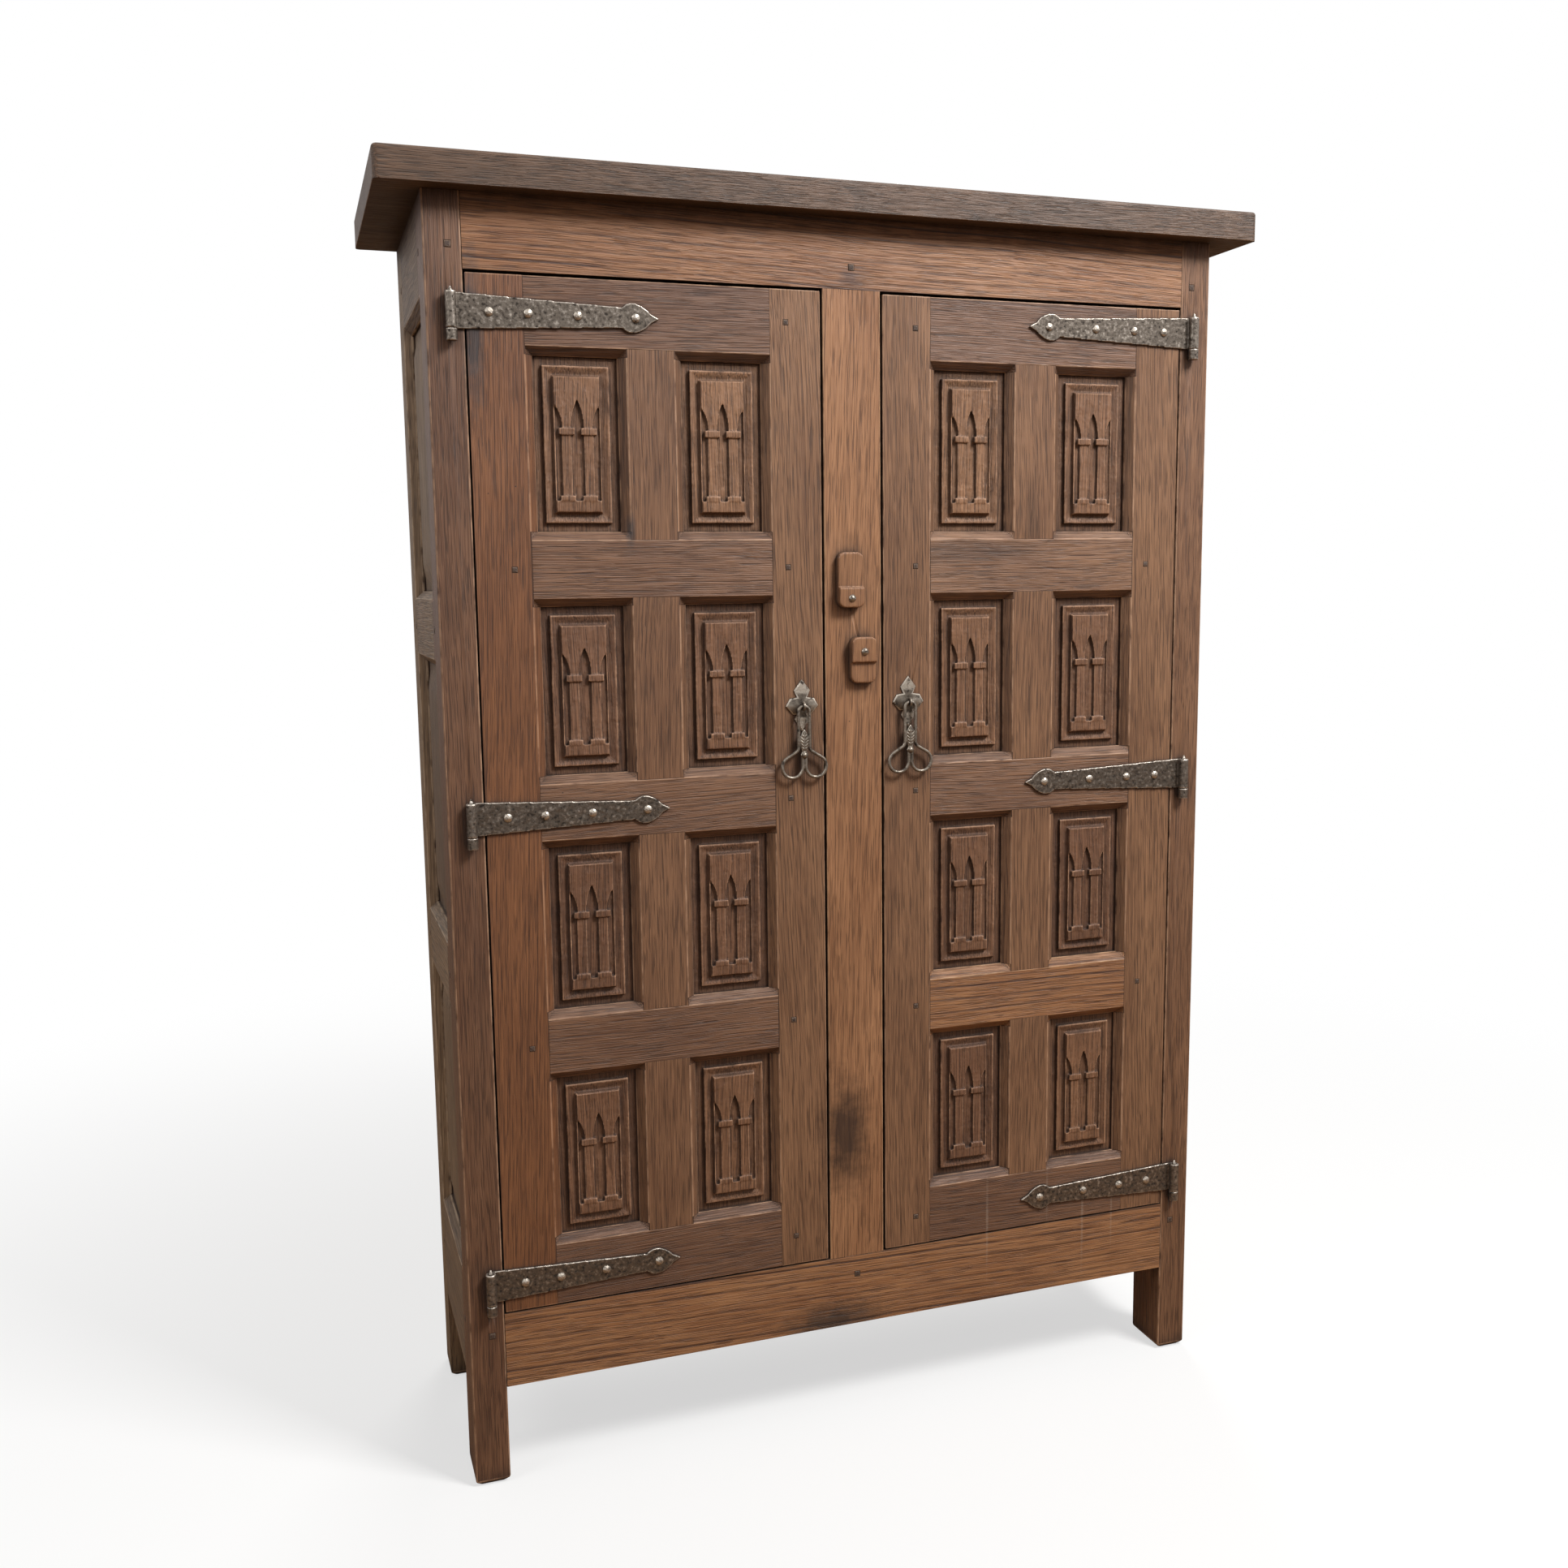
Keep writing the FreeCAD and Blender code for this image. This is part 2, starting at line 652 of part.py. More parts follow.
def build_carcass():
    """The posts, rails, side frames, panels, back, floor and shelves. Returns what the doors need."""
    posts = {
        (LEFT, "front"): post("front_left_post", LEFT, front, front_post_back),
        (RIGHT, "front"): post("front_right_post", RIGHT, front, front_post_back),
        (LEFT, "rear"): post("rear_left_post", LEFT, rear_post_front, back),
        (RIGHT, "rear"): post("rear_right_post", RIGHT, rear_post_front, back),
    }
    front_posts = (posts[LEFT, "front"], posts[RIGHT, "front"])
    rear_posts = (posts[LEFT, "rear"], posts[RIGHT, "rear"])
    front_top = cross_rail("front_top_rail", front_posts, top_rail_foot, carcass_height, front, 1)
    front_bottom = cross_rail("front_bottom_rail", front_posts, leg_height, bottom_rail_top, front, 1)
    rear_top = cross_rail("rear_top_rail", rear_posts, top_rail_foot, carcass_height, back, -1)
    rear_bottom = cross_rail("rear_bottom_rail", rear_posts, leg_height, bottom_rail_top, back, -1)

    mullion = Timber("centre_mullion", (-mullion_half, front, bottom_rail_top),
                     (mullion_half, front + mullion_thickness, top_rail_foot))
    reach = mullion_half - tenon_shoulder
    near = front + tenon_setback
    tenon(mullion, front_top, (-reach, near, top_rail_foot),
          (reach, near + tenon_thickness, top_rail_foot + tenon_length), 2, 1)
    tenon(mullion, front_bottom, (-reach, near, bottom_rail_top - tenon_length),
          (reach, near + tenon_thickness, bottom_rail_top), 2, -1)

    pegs = []
    high_peg = top_rail_foot + peg_inset
    low_peg = bottom_rail_top - peg_inset
    peg_x = post_inner + tenon_length / 2
    for side in (LEFT, RIGHT):
        x = at_side(side, peg_x)
        for rail, z in ((front_top, high_peg), (front_bottom, low_peg)):
            pegs.append(peg_along_y(front, 1, x, z, peg_width, peg_length, (posts[side, "front"], rail)))
        for rail, z in ((rear_top, high_peg), (rear_bottom, low_peg)):
            pegs.append(peg_along_y(back, -1, x, z, peg_width, peg_length, (posts[side, "rear"], rail)))
    half_thick = rail_thickness - peg_proud
    for rail, z in ((front_top, high_peg), (front_bottom, low_peg)):
        pegs.append(peg_along_y(front, 1, as_length(0), z, peg_width, half_thick, (mullion, rail)))

    cleats = []
    plain_panel = fielded_panel()
    shelf_feet = {}
    for side, word in ((LEFT, "left"), (RIGHT, "right")):
        front_post = posts[side, "front"]
        rear_post = posts[side, "rear"]
        rails = side_rails(side, word, front_post, rear_post)
        for rail in rails:
            for target, y in ((front_post, front_post_back - tenon_length / 2),
                              (rear_post, rear_post_front + tenon_length / 2)):
                pegs.append(peg_along_x(side, y, rail.middle, (target, rail)))
        inward = turned(0, 0, 1, 90 * side)
        middle_y = (front_post_back + rear_post_front) / 2
        panels = []
        groove_x = sided(side, half_width - panel_recess - panel_edge, half_width - panel_recess)
        for below, above in zip(rails, rails[1:]):
            middle_z = (below.top + above.foot) / 2
            for piece in (below, above, front_post, rear_post):
                wide = side_opening_width + (chamfer + overrun) * 2
                tall = side_opening_height + (chamfer + overrun) * 2
                cutter = frustum(wide, tall, side_opening_width, side_opening_height, -overrun, chamfer)
                piece.cutters.append(place(cutter, at_side(side, half_width), middle_y, middle_z, inward))
                piece.cutters.append(block(
                    (groove_x[0], front_post_back - groove_depth, below.top - groove_depth),
                    (groove_x[1], rear_post_front + groove_depth, above.foot + groove_depth)))
            panels.append(copy_of(plain_panel, at_side(side, half_width), middle_y, middle_z, inward))
        keep_group(panels, f"{word}_side_panels")
        floor_foot = bottom_rail_top - shelf_thickness
        feet = {"floor": floor_foot, "lower": rails[1].foot + cleat_rise + cleat_size,
                "upper": rails[2].foot + cleat_rise + cleat_size}
        low_x, high_x = sided(side, side_inner - cleat_size, side_inner)
        for foot in feet.values():
            cleats.append(block((low_x, front_post_back, foot - cleat_size), (high_x, rear_post_front, foot)))
        shelf_feet = feet
        for rail in rails:
            rail.keep()

    build_back(posts, rear_top, rear_bottom)
    floor_front = front + rail_thickness
    shelf_front = front + mullion_thickness
    rear_rail_front = back - rail_thickness
    board_front = back - back_board_thickness
    for name, foot, low_y, high_y in (
            ("floor_board", shelf_feet["floor"], floor_front, rear_rail_front),
            ("lower_shelf", shelf_feet["lower"], shelf_front, board_front),
            ("upper_shelf", shelf_feet["upper"], shelf_front, board_front)):
        top = foot + shelf_thickness
        shelf = Timber(name, (-post_inner + shelf_fit_gap, low_y, foot), (post_inner - shelf_fit_gap, high_y, top))
        shelf.blocks.append(block(
            (-side_inner + shelf_fit_gap, front_post_back + shelf_fit_gap, foot),
            (side_inner - shelf_fit_gap, rear_post_front - shelf_fit_gap, top)))
        shelf.keep()
    keep_group(cleats, "shelf_cleats")
    keep_group(pegs, "frame_pegs")

    pieces = list(posts.values()) + [front_top, front_bottom, rear_top, rear_bottom, mullion]
    return posts, mullion, pieces


def build_back(posts, rear_top, rear_bottom):
    """Upright boards nailed into a rebate round the back."""
    low_z = bottom_rail_top - rebate_width
    high_z = top_rail_foot + rebate_width
    reach = post_inner + rebate_width
    low_y = back - back_board_thickness
    for piece in (posts[LEFT, "rear"], posts[RIGHT, "rear"], rear_top, rear_bottom):
        piece.cutters.append(block((-reach, low_y, low_z), (reach, back + overrun, high_z)))
    width = reach * 2 / BACK_BOARD_COUNT
    nail = domed_pin("Nail", nail_radius, nail_length, nail_head_radius, nail_head_height)
    boards = []
    nails = []
    for i in range(BACK_BOARD_COUNT):
        left = -reach + width * i
        middle = left + width / 2
        board = Timber("back_board", (left, low_y, low_z), (left + width, back, high_z))
        seat = back - nail_head_height
        for z, rail in ((low_z + rebate_width / 2, rear_bottom), (high_z - rebate_width / 2, rear_top)):
            for piece in (board, rail):
                piece.cutters.append(cylinder(nail_radius, nail_length, middle, seat, z, TO_FRONT))
            board.cutters.append(cylinder(nail_head_radius, nail_head_height + overrun,
                                          middle, back + overrun, z, TO_FRONT))
            nails.append(copy_of(nail, middle, seat, z, TO_BACK))
        boards.append(board.solid())
    keep_group(boards, "back_boards")
    keep_group(nails, "back_board_nails")


def domed_pin(name, radius, length, head_radius, head_height):
    """A round shank down the Z axis under a low domed head that starts at the origin."""
    body = doc.addObject("PartDesign::Body", name)
    sketch = new_sketch(body, name + "Profile", "XZ_Plane")
    dome = (head_radius * head_radius.value + head_height * head_height.value) / (head_height.value * 2)
    dome = Length(dome.value, f"(({head_radius.text}^2 + {head_height.text}^2) / (2 * {head_height.text}))")
    outline(sketch, [(0, -length), (radius, -length), (radius, 0), (head_radius, 0), (0, head_height)],
            arcs={3: dome})
    turn = body.newObject("PartDesign::Revolution", "Turn")
    turn.Profile = sketch
    turn.ReferenceAxis = (sketch, ["V_Axis"])
    turn.Angle = 360
    return body


# Doors

def build_panel():
    """The carved panel. Its origin is the middle of the opening, in the plane of the door's face."""
    inner_width = opening_width - chamfer * 2
    inner_height = opening_height - chamfer * 2
    edge_width = inner_width + (groove_depth - panel_slack) * 2
    edge_height = inner_height + (groove_depth - panel_slack) * 2
    board = block((-edge_width / 2, panel_recess, -edge_height / 2),
                  (edge_width / 2, panel_recess + panel_edge, edge_height / 2))
    fillet_width_over = inner_width - panel_margin * 2
    fillet_height_over = inner_height - panel_margin * 2
    fillet_level = panel_recess - fillet_rise
    raised = block((-fillet_width_over / 2, fillet_level, -fillet_height_over / 2),
                   (fillet_width_over / 2, panel_recess, fillet_height_over / 2))
    bevel_foot_width = fillet_width_over - fillet_width * 2
    bevel_foot_height = fillet_height_over - fillet_width * 2
    bevel_level = fillet_level - bevel_rise
    bevel = frustum(bevel_foot_width - bevel_width * 2, bevel_foot_height - bevel_width * 2,
                    bevel_foot_width, bevel_foot_height, bevel_level, fillet_level)
    half_field = bevel_foot_width / 2 - bevel_width - field_border
    half_tall = bevel_foot_height / 2 - bevel_width - field_border
    field_width = half_field * 2
    field_height = half_tall * 2
    field_level = bevel_level - field_rise
    ground_level = field_level + carving_depth
    sinking = block((-half_field, bevel_level - overrun, -half_tall), (half_field, ground_level, half_tall))

    def raised_block(low_x, high_x, low_z, high_z):
        return block((low_x, field_level, low_z), (high_x, ground_level, high_z))

    plinth_top = -half_tall + field_height * plinth_height_share
    base_top = plinth_top + field_height * base_height_share
    spring = half_tall - field_height * capital_drop_share
    capital_foot = spring - field_height * capital_height_share
    base_width = field_width * base_width_share
    column_width = field_width * column_width_share
    capital_width = field_width * capital_width_share
    relief = [raised_block(-half_field, half_field, -half_tall, plinth_top)]
    for side in (LEFT, RIGHT):
        axis = field_width * column_spacing_share / 2
        for width, low_z, high_z in ((base_width, plinth_top, base_top), (column_width, base_top, capital_foot),
                                     (capital_width, capital_foot, spring)):
            low_x, high_x = sided(side, axis - width / 2, axis + width / 2)
            relief.append(raised_block(low_x, high_x, low_z, high_z))
    relief.append(build_spandrel(half_field, half_tall, spring, field_level, ground_level))
    return fuse([cut(fuse([board, raised, bevel]), [sinking])] + relief)


def arc_radius(half_span, rise):
    """The radius of an arc that springs upright and meets its mirror image at a point."""
    return Length((half_span.value ** 2 + rise.value ** 2) / (2 * half_span.value),
                  f"(({half_span.text}^2 + {rise.text}^2) / (2 * {half_span.text}))")


def build_spandrel(half_field, half_tall, spring, field_level, ground_level):
    """The carved plate over the capitals, with a pointed arch in it and half an arch at each side."""
    plate = block((-half_field, field_level, spring), (half_field, ground_level, half_tall))
    start = field_level - overrun
    depth = carving_depth + overrun * 2
    column_spacing = half_field * 2 * column_spacing_share
    column_width = half_field * 2 * column_width_share
    arch_rise = half_tall * 2 * arch_rise_share
    side_arch_rise = half_tall * 2 * side_arch_rise_share
    half_arch = column_spacing / 2 - column_width / 2
    radius = arc_radius(half_arch, arch_rise)
    arcs = [cylinder(radius, depth, at_side(side, radius - half_arch), start, spring, TO_BACK)
            for side in (LEFT, RIGHT)]
    room = block((-half_arch, start, spring - overrun), (half_arch, start + depth, spring + arch_rise))
    cutters = [common(arcs + [room])]
    leg_outer = column_spacing / 2 + column_width / 2 - field_border
    half_side_arch = half_field - leg_outer
    side_radius = arc_radius(half_side_arch, side_arch_rise)
    for side in (LEFT, RIGHT):
        low_x, high_x = sided(side, leg_outer, half_field + overrun)
        disc = cylinder(side_radius, depth, at_side(side, leg_outer + side_radius), start, spring, TO_BACK)
        corner = block((low_x, start, spring - overrun), (high_x, start + depth, spring + side_arch_rise))
        cutters.append(common([disc, corner]))
    return cut(plate, cutters)


def row_foot(row):
    """The Z where the openings of a row start, counted from the lowest."""
    return door_foot + end_rail_height + row_pitch * row


def door_frame(side, word):
    """The stiles, rails and muntins of one door, with the cutters of its openings."""
    def span(near, far):
        return sided(side, near, far)

    back_y = front + door_thickness
    edge = stile_width + chamfer
    lock_x = span(door_lock_edge, door_lock_edge + edge)
    hinge_x_range = span(door_hinge_edge - edge, door_hinge_edge)
    lock = Timber(f"{word}_door_lock_stile", (lock_x[0], front, door_foot), (lock_x[1], back_y, door_top))
    hinge = Timber(f"{word}_door_hinge_stile", (hinge_x_range[0], front, door_foot),
                   (hinge_x_range[1], back_y, door_top))
    near = door_lock_edge + stile_width
    far = door_hinge_edge - stile_width
    low_t = front + panel_recess
    high_t = low_t + panel_edge

    rails = []
    face_foot = door_foot
    for number, name in enumerate(("bottom", "lower", "middle", "upper", "top")):
        face_top = door_top if number == PANEL_ROWS else row_foot(number)
        foot = face_foot if number == 0 else face_foot - chamfer
        top = face_top if number == PANEL_ROWS else face_top + chamfer
        low_x, high_x = span(near, far)
        rail = Timber(f"{word}_door_{name}_rail", (low_x, front, foot), (high_x, back_y, top))
        for target, inner, outer in ((lock, near - door_tenon_length, near), (hinge, far, far + door_tenon_length)):
            low_x, high_x = span(inner, outer)
            away = side if target is hinge else -side
            tenon(rail, target, (low_x, low_t, face_foot + door_tenon_shoulder),
                  (high_x, high_t, face_top - door_tenon_shoulder), 0, away)
        for target, inner, outer in ((lock, near, near + chamfer), (hinge, far - chamfer, far)):
            low_x, high_x = span(inner, outer)
            target.cutters.append(block((low_x, front, foot), (high_x, back_y, top)))
        rail.middle = (face_foot + face_top) / 2
        rails.append(rail)
        face_foot = face_top + opening_height

    muntins = []
    middle_x = (near + far) / 2
    for row in range(PANEL_ROWS):
        foot = row_foot(row)
        top = foot + opening_height
        low_x, high_x = span(middle_x - muntin_width / 2, middle_x + muntin_width / 2)
        muntin = Timber("muntin", (low_x, front, foot), (high_x, back_y, top))
        for rail in (rails[row], rails[row + 1]):
            rail.cutters.append(block((low_x, front, foot), (high_x, back_y, top)))
        wide_x = span(middle_x - muntin_width / 2 - chamfer, middle_x + muntin_width / 2 + chamfer)
        muntin.blocks.append(block((wide_x[0], front, foot + chamfer), (wide_x[1], back_y, top - chamfer)))
        shoulder = door_tenon_shoulder
        tenon(muntin, rails[row], (low_x + shoulder, low_t, foot - muntin_tenon_length),
              (high_x - shoulder, high_t, foot), 2, -1)
        tenon(muntin, rails[row + 1], (low_x + shoulder, low_t, top),
              (high_x - shoulder, high_t, top + muntin_tenon_length), 2, 1)
        muntins.append(muntin)

    centres = []
    for row in range(PANEL_ROWS):
        for column in range(PANEL_COLUMNS):
            x = near + opening_width / 2 + (opening_width + muntin_width) * column
            z = row_foot(row) + opening_height / 2
            centres.append((at_side(side, x), z))
            stile = (lock, hinge)[column]
            for piece in (stile, muntins[row], rails[row], rails[row + 1]):
                piece.cutters.append(opening_bevel(at_side(side, x), z))
                piece.cutters.append(opening_groove(at_side(side, x), z))
    return lock, hinge, rails, muntins, centres


def opening_bevel(x, z):
    """What the mitred chamfer round an opening takes away."""
    cutter = frustum(opening_width + overrun * 2, opening_height + overrun * 2,
                     opening_width - chamfer * 2, opening_height - chamfer * 2, -overrun, chamfer)
    return place(cutter, x, front, z)


def opening_groove(x, z):
    """What the groove for the panel takes away, all round an opening."""
    half_wide = opening_width / 2 - chamfer + groove_depth
    half_tall = opening_height / 2 - chamfer + groove_depth
    return block((x - half_wide, front + panel_recess, z - half_tall),
                 (x + half_wide, front + panel_recess + panel_edge, z + half_tall))


def build_strap():
    """The strap of a hinge, from its knuckle on the Z axis to its spear head along X."""
    body = doc.addObject("PartDesign::Body", "Strap")
    shape = new_sketch(body, "StrapOutline", "XZ_Plane", -hinge_axis_front)
    half_knuckle = knuckle_height / 2
    half_neck = strap_neck_height / 2
    half_head = strap_head_height / 2
    half_tip = strap_tip_height / 2
    head = strap_length - strap_head_length
    shoulder = head + strap_head_shoulder
    widest = head + strap_head_length / 3
    tip_foot = strap_length - strap_tip_length
    lobe = strap_head_height
    outline(shape,
            [(0, -half_knuckle), (head, -half_neck), (shoulder, -half_head + strap_head_shoulder),
             (widest, -half_head), (tip_foot, -half_tip), (strap_length, 0), (tip_foot, half_tip),
             (widest, half_head), (shoulder, half_head - strap_head_shoulder), (head, half_neck),
             (0, half_knuckle)],
            arcs={2: lobe / 2, 3: lobe, 6: lobe, 7: lobe / 2})
    pad(body, shape, strap_thickness)
    ring = new_sketch(body, "KnuckleRing", "XY_Plane")
    circle(ring, 0, 0, knuckle_radius)
    circle(ring, 0, 0, pin_radius + pin_fit_gap)
    pad(body, ring, knuckle_height, midplane=True)
    holes = new_sketch(body, "RivetHoles", "XZ_Plane")
    for share in rivet_place_shares:
        circle(holes, strap_length * share, 0, rivet_radius)
    pocket = body.newObject("PartDesign::Pocket", "Holes")
    pocket.Profile = holes
    bind(pocket, "Length", (hinge_axis_front + overrun) * 2)
    pocket.Midplane = True
    return body


def build_pintle():
    """The pin that a knuckle turns on: a boss under it, a pointed tip over it and a spike into the post."""
    foot = -knuckle_height / 2 - boss_gap - boss_height
    shaft = knuckle_height + boss_gap * 2
    boss = cylinder(knuckle_radius, boss_height, 0, 0, foot)
    pin = cylinder(pin_radius, shaft, 0, 0, foot + boss_height)
    tip = add("Part::Cone", Radius1=pin_radius, Radius2=pin_radius / 4, Height=pin_tip_height)
    place(tip, 0, 0, foot + boss_height + shaft)
    spike = cylinder(spike_radius, hinge_axis_front + spike_length, 0, 0, foot + boss_height / 2, TO_BACK)
    return fuse([boss, pin, tip, spike])


def build_pull():
    """The drop handle: a wire bent over the staple, down in two bars and round into two finger loops."""
    body = doc.addObject("PartDesign::Body", "Pull")
    path = new_sketch(body, "PullPath", "XZ_Plane")
    top = -pull_half_width
    bar_foot = top - pull_bar_length
    loop_z = bar_foot - pull_loop_drop
    loop_x = pull_loop_inset + pull_loop_radius
    flare_x = pull_half_width + pull_flare_radius
    swing = flare_angle(loop_x.value - flare_x.value, pull_loop_drop.value,
                        pull_loop_radius.value + pull_flare_radius.value)
    flat = FreeCAD.Vector(0, 0, 1)

    def arc(x, z, radius, start, end):
        return Part.ArcOfCircle(Part.Circle(FreeCAD.Vector(x.value, z.value, 0), flat, radius.value), start, end)

    def line(x, z, x_end, z_end):
        return Part.LineSegment(FreeCAD.Vector(x, z, 0), FreeCAD.Vector(x_end, z_end, 0))

    zero = as_length(0)
    bend = path.addGeometry(arc(zero, top, pull_half_width, 0, math.pi / 2))
    bar = path.addGeometry(line(pull_half_width.value, top.value, pull_half_width.value, bar_foot.value))
    flare = path.addGeometry(arc(flare_x, bar_foot, pull_flare_radius, math.pi, math.pi + swing))
    leave = (flare_x.value - pull_flare_radius.value * math.cos(swing),
             bar_foot.value - pull_flare_radius.value * math.sin(swing))
    enter = (loop_x.value + pull_loop_radius.value * math.cos(swing),
             loop_z.value + pull_loop_radius.value * math.sin(swing))
    run = path.addGeometry(line(*leave, *enter))
    loop = path.addGeometry(arc(loop_x, loop_z, pull_loop_radius, math.pi, math.tau + swing))
    end_z = loop_z + pull_end_rise
    rise = path.addGeometry(line(pull_loop_inset.value, loop_z.value, pull_loop_inset.value, end_z.value))
    for first, first_end, second, second_end in ((bend, 1, bar, 1), (bar, 2, flare, 1), (flare, 2, run, 1),
                                                 (run, 2, loop, 2), (loop, 1, rise, 1)):
        path.addConstraint(Sketcher.Constraint("Tangent", first, first_end, second, second_end))
    for edge, x, z, radius in ((bend, zero, top, pull_half_width), (flare, flare_x, bar_foot, pull_flare_radius),
                               (loop, loop_x, loop_z, pull_loop_radius)):
        pin_point(path, edge, 3, (x, z))
        dimension(path, "Radius", edge, radius)
    dimension(path, "DistanceX", -1, 1, bend, 2, zero)
    dimension(path, "DistanceX", -1, 1, rise, 2, pull_loop_inset)
    dimension(path, "DistanceY", -1, 1, rise, 2, end_z)

    section = new_sketch(body, "PullSection", "YZ_Plane")
    circle(section, 0, 0, pull_wire_radius)
    pipe = body.newObject("PartDesign::AdditivePipe", "PullWire")
    pipe.Profile = section
    pipe.Spine = path
    mirror = body.newObject("PartDesign::Mirrored", "OtherHalf")
    mirror.Originals = [pipe]
    mirror.MirrorPlane = ([item for item in body.Origin.OriginFeatures if item.Role == "YZ_Plane"][0], [""])
    body.Tip = mirror

    leaf = new_sketch(body, "Leaf", "XZ_Plane")
    half_leaf = leaf_width / 2
    half_foot = leaf_foot_width / 2
    half_bud = leaf_bud_width / 2
    bud = (leaf_foot + leaf_end) / 2
    outline(leaf,
            [(0, -leaf_top), (-half_leaf, -leaf_middle), (-half_foot, -leaf_foot), (-half_bud, -bud),
             (0, -leaf_end), (half_bud, -bud), (half_foot, -leaf_foot), (half_leaf, -leaf_middle)],
            arcs={0: leaf_top, 3: half_bud * bud_arc_share, 4: half_bud * bud_arc_share, 7: leaf_top})
    pad(body, leaf, leaf_thickness, midplane=True)
    return body


def flare_angle(across, down, radii):
    """The turn after which a straight run touches both of two circles on opposite sides of it."""
    distance = math.hypot(across, down)
    return math.asin(radii / distance) - math.atan2(across, down) + math.atan2(across, down) * 2


def build_pull_plate():
    """The cross-shaped plate of a pull, with the staple ring that the pull hangs in and its spike."""
    body = doc.addObject("PartDesign::Body", "PullPlate")
    sketch = new_sketch(body, "PlateOutline", "XZ_Plane", -hinge_axis_front)
    half = [(0, plate_top), (plate_top_width, plate_top_shoulder), (plate_neck_width, plate_neck_height),
            (plate_side_width, plate_side_height), (plate_width, 0),
            (plate_side_foot_width, -plate_side_foot), (plate_stem_width, -plate_side_foot),
            (plate_stem_spread, -plate_stem_shoulder), (0, -plate_stem_foot)]
    left = [(-as_length(width) / 2, height) for width, height in half]
    right = [(as_length(width) / 2, height) for width, height in reversed(half[1:-1])]
    outline(sketch, left + right)
    pad(body, sketch, plate_thickness)
    inner = pull_wire_radius + staple_gap
    ring = add("Part::Torus", Radius1=inner + staple_wire_radius, Radius2=staple_wire_radius)
    place(ring, 0, 0, 0, turned(0, 1, 0, 90))
    spike = cylinder(staple_spike_radius, plate_thickness + staple_spike_length, 0,
                     hinge_axis_front - plate_thickness, 0, TO_BACK)
    return fuse([body, ring, spike])


def build_doors(posts):
    """Both doors with their panels, hinges and pulls, and the pintles in the posts."""
    panel = build_panel()
    strap = build_strap()
    pintle = build_pintle()
    rivet = domed_pin("Rivet", rivet_radius, strap_thickness + door_thickness, rivet_head_radius, rivet_head_height)
    pull = build_pull()
    pull_plate = build_pull_plate()
    shifts = {LEFT: (left_bottom_hinge_shift, left_middle_hinge_shift, left_top_hinge_shift),
              RIGHT: (right_bottom_hinge_shift, right_middle_hinge_shift, right_top_hinge_shift)}
    pintles = []
    for side, word in ((LEFT, "left"), (RIGHT, "right")):
        lock, hinge, rails, muntins, centres = door_frame(side, word)
        pegs = []
        for number, rail in enumerate(rails):
            joints = [(lock, door_lock_edge + stile_width - door_peg_inset)]
            if number % 2 == 1:
                joints.append((hinge, door_hinge_edge - stile_width + door_peg_inset))
            for stile, x in joints:
                pegs.append(peg_along_y(front, 1, at_side(side, x), rail.middle, door_peg_width,
                                        door_thickness, (stile, rail)))
        straps = []
        rivets = []
        axis_x = at_side(side, hinge_x)
        turn = UPRIGHT if side == LEFT else turned(0, 1, 0, 180)
        for rail, shift in zip(rails[::2], shifts[side]):
            z = rail.middle + shift
            straps.append(copy_of(strap, axis_x, hinge_y, z, turn))
            pintles.append(copy_of(pintle, axis_x, hinge_y, z))
            spike_z = z - knuckle_height / 2 - boss_gap - boss_height / 2
            posts[side, "front"].cutters.append(
                cylinder(spike_radius, spike_length + overrun, axis_x, front - overrun, spike_z, TO_BACK))
            for number, share in enumerate(rivet_place_shares):
                x = at_side(side, hinge_x - strap_length * share)
                rivets.append(copy_of(rivet, x, front - strap_thickness, z, TO_FRONT))
                for target in (hinge, rail) if number == 0 else (rail,):
                    target.cutters.append(
                        cylinder(rivet_radius, door_thickness + overrun * 2, x, front - overrun, z, TO_BACK))
        pull_x = at_side(side, door_lock_edge + pull_inset[side])
        lock.cutters.append(cylinder(staple_spike_radius, staple_spike_length + overrun,
                                     pull_x, front - overrun, pull_height, TO_BACK))
        for piece in [lock, hinge] + rails:
            piece.keep()
        keep_group([piece.solid() for piece in muntins], f"{word}_door_muntins")
        keep_group([copy_of(panel, x, front, z) for x, z in centres], f"{word}_door_panels")
        keep_group(pegs, f"{word}_door_pegs")
        keep_group(straps, f"{word}_door_hinge_straps")
        keep_group(rivets, f"{word}_door_rivets")
        keep(copy_of(pull_plate, pull_x, hinge_y, pull_height), f"{word}_pull_plate")
        keep(copy_of(pull, pull_x, hinge_y, pull_height), f"{word}_pull")
    keep_group(pintles, "hinge_pintles")


# Turn buttons

def soften(body, solid):
    """Rounds the front edges of the pivot part and of the tongue, up to the step between them."""
    doc.recompute()
    edges = []
    for i, edge in enumerate(solid.Shape.Edges):
        if edge.BoundBox.YLength > button_gap.value:
            continue
        depth = -edge.CenterOfMass.y
        on_pivot = abs(depth - pivot_thickness.value) < button_gap.value
        on_tongue = abs(depth - tongue_thickness.value) < button_gap.value
        if on_pivot or (on_tongue and edge.CenterOfMass.x > pivot_reach.value + button_gap.value):
            edges.append(f"Edge{i + 1}")
    fillet = body.newObject("PartDesign::Fillet", "WornEdge")
    fillet.Base = (solid, edges)
    bind(fillet, "Radius", button_edge_radius)
    return fillet


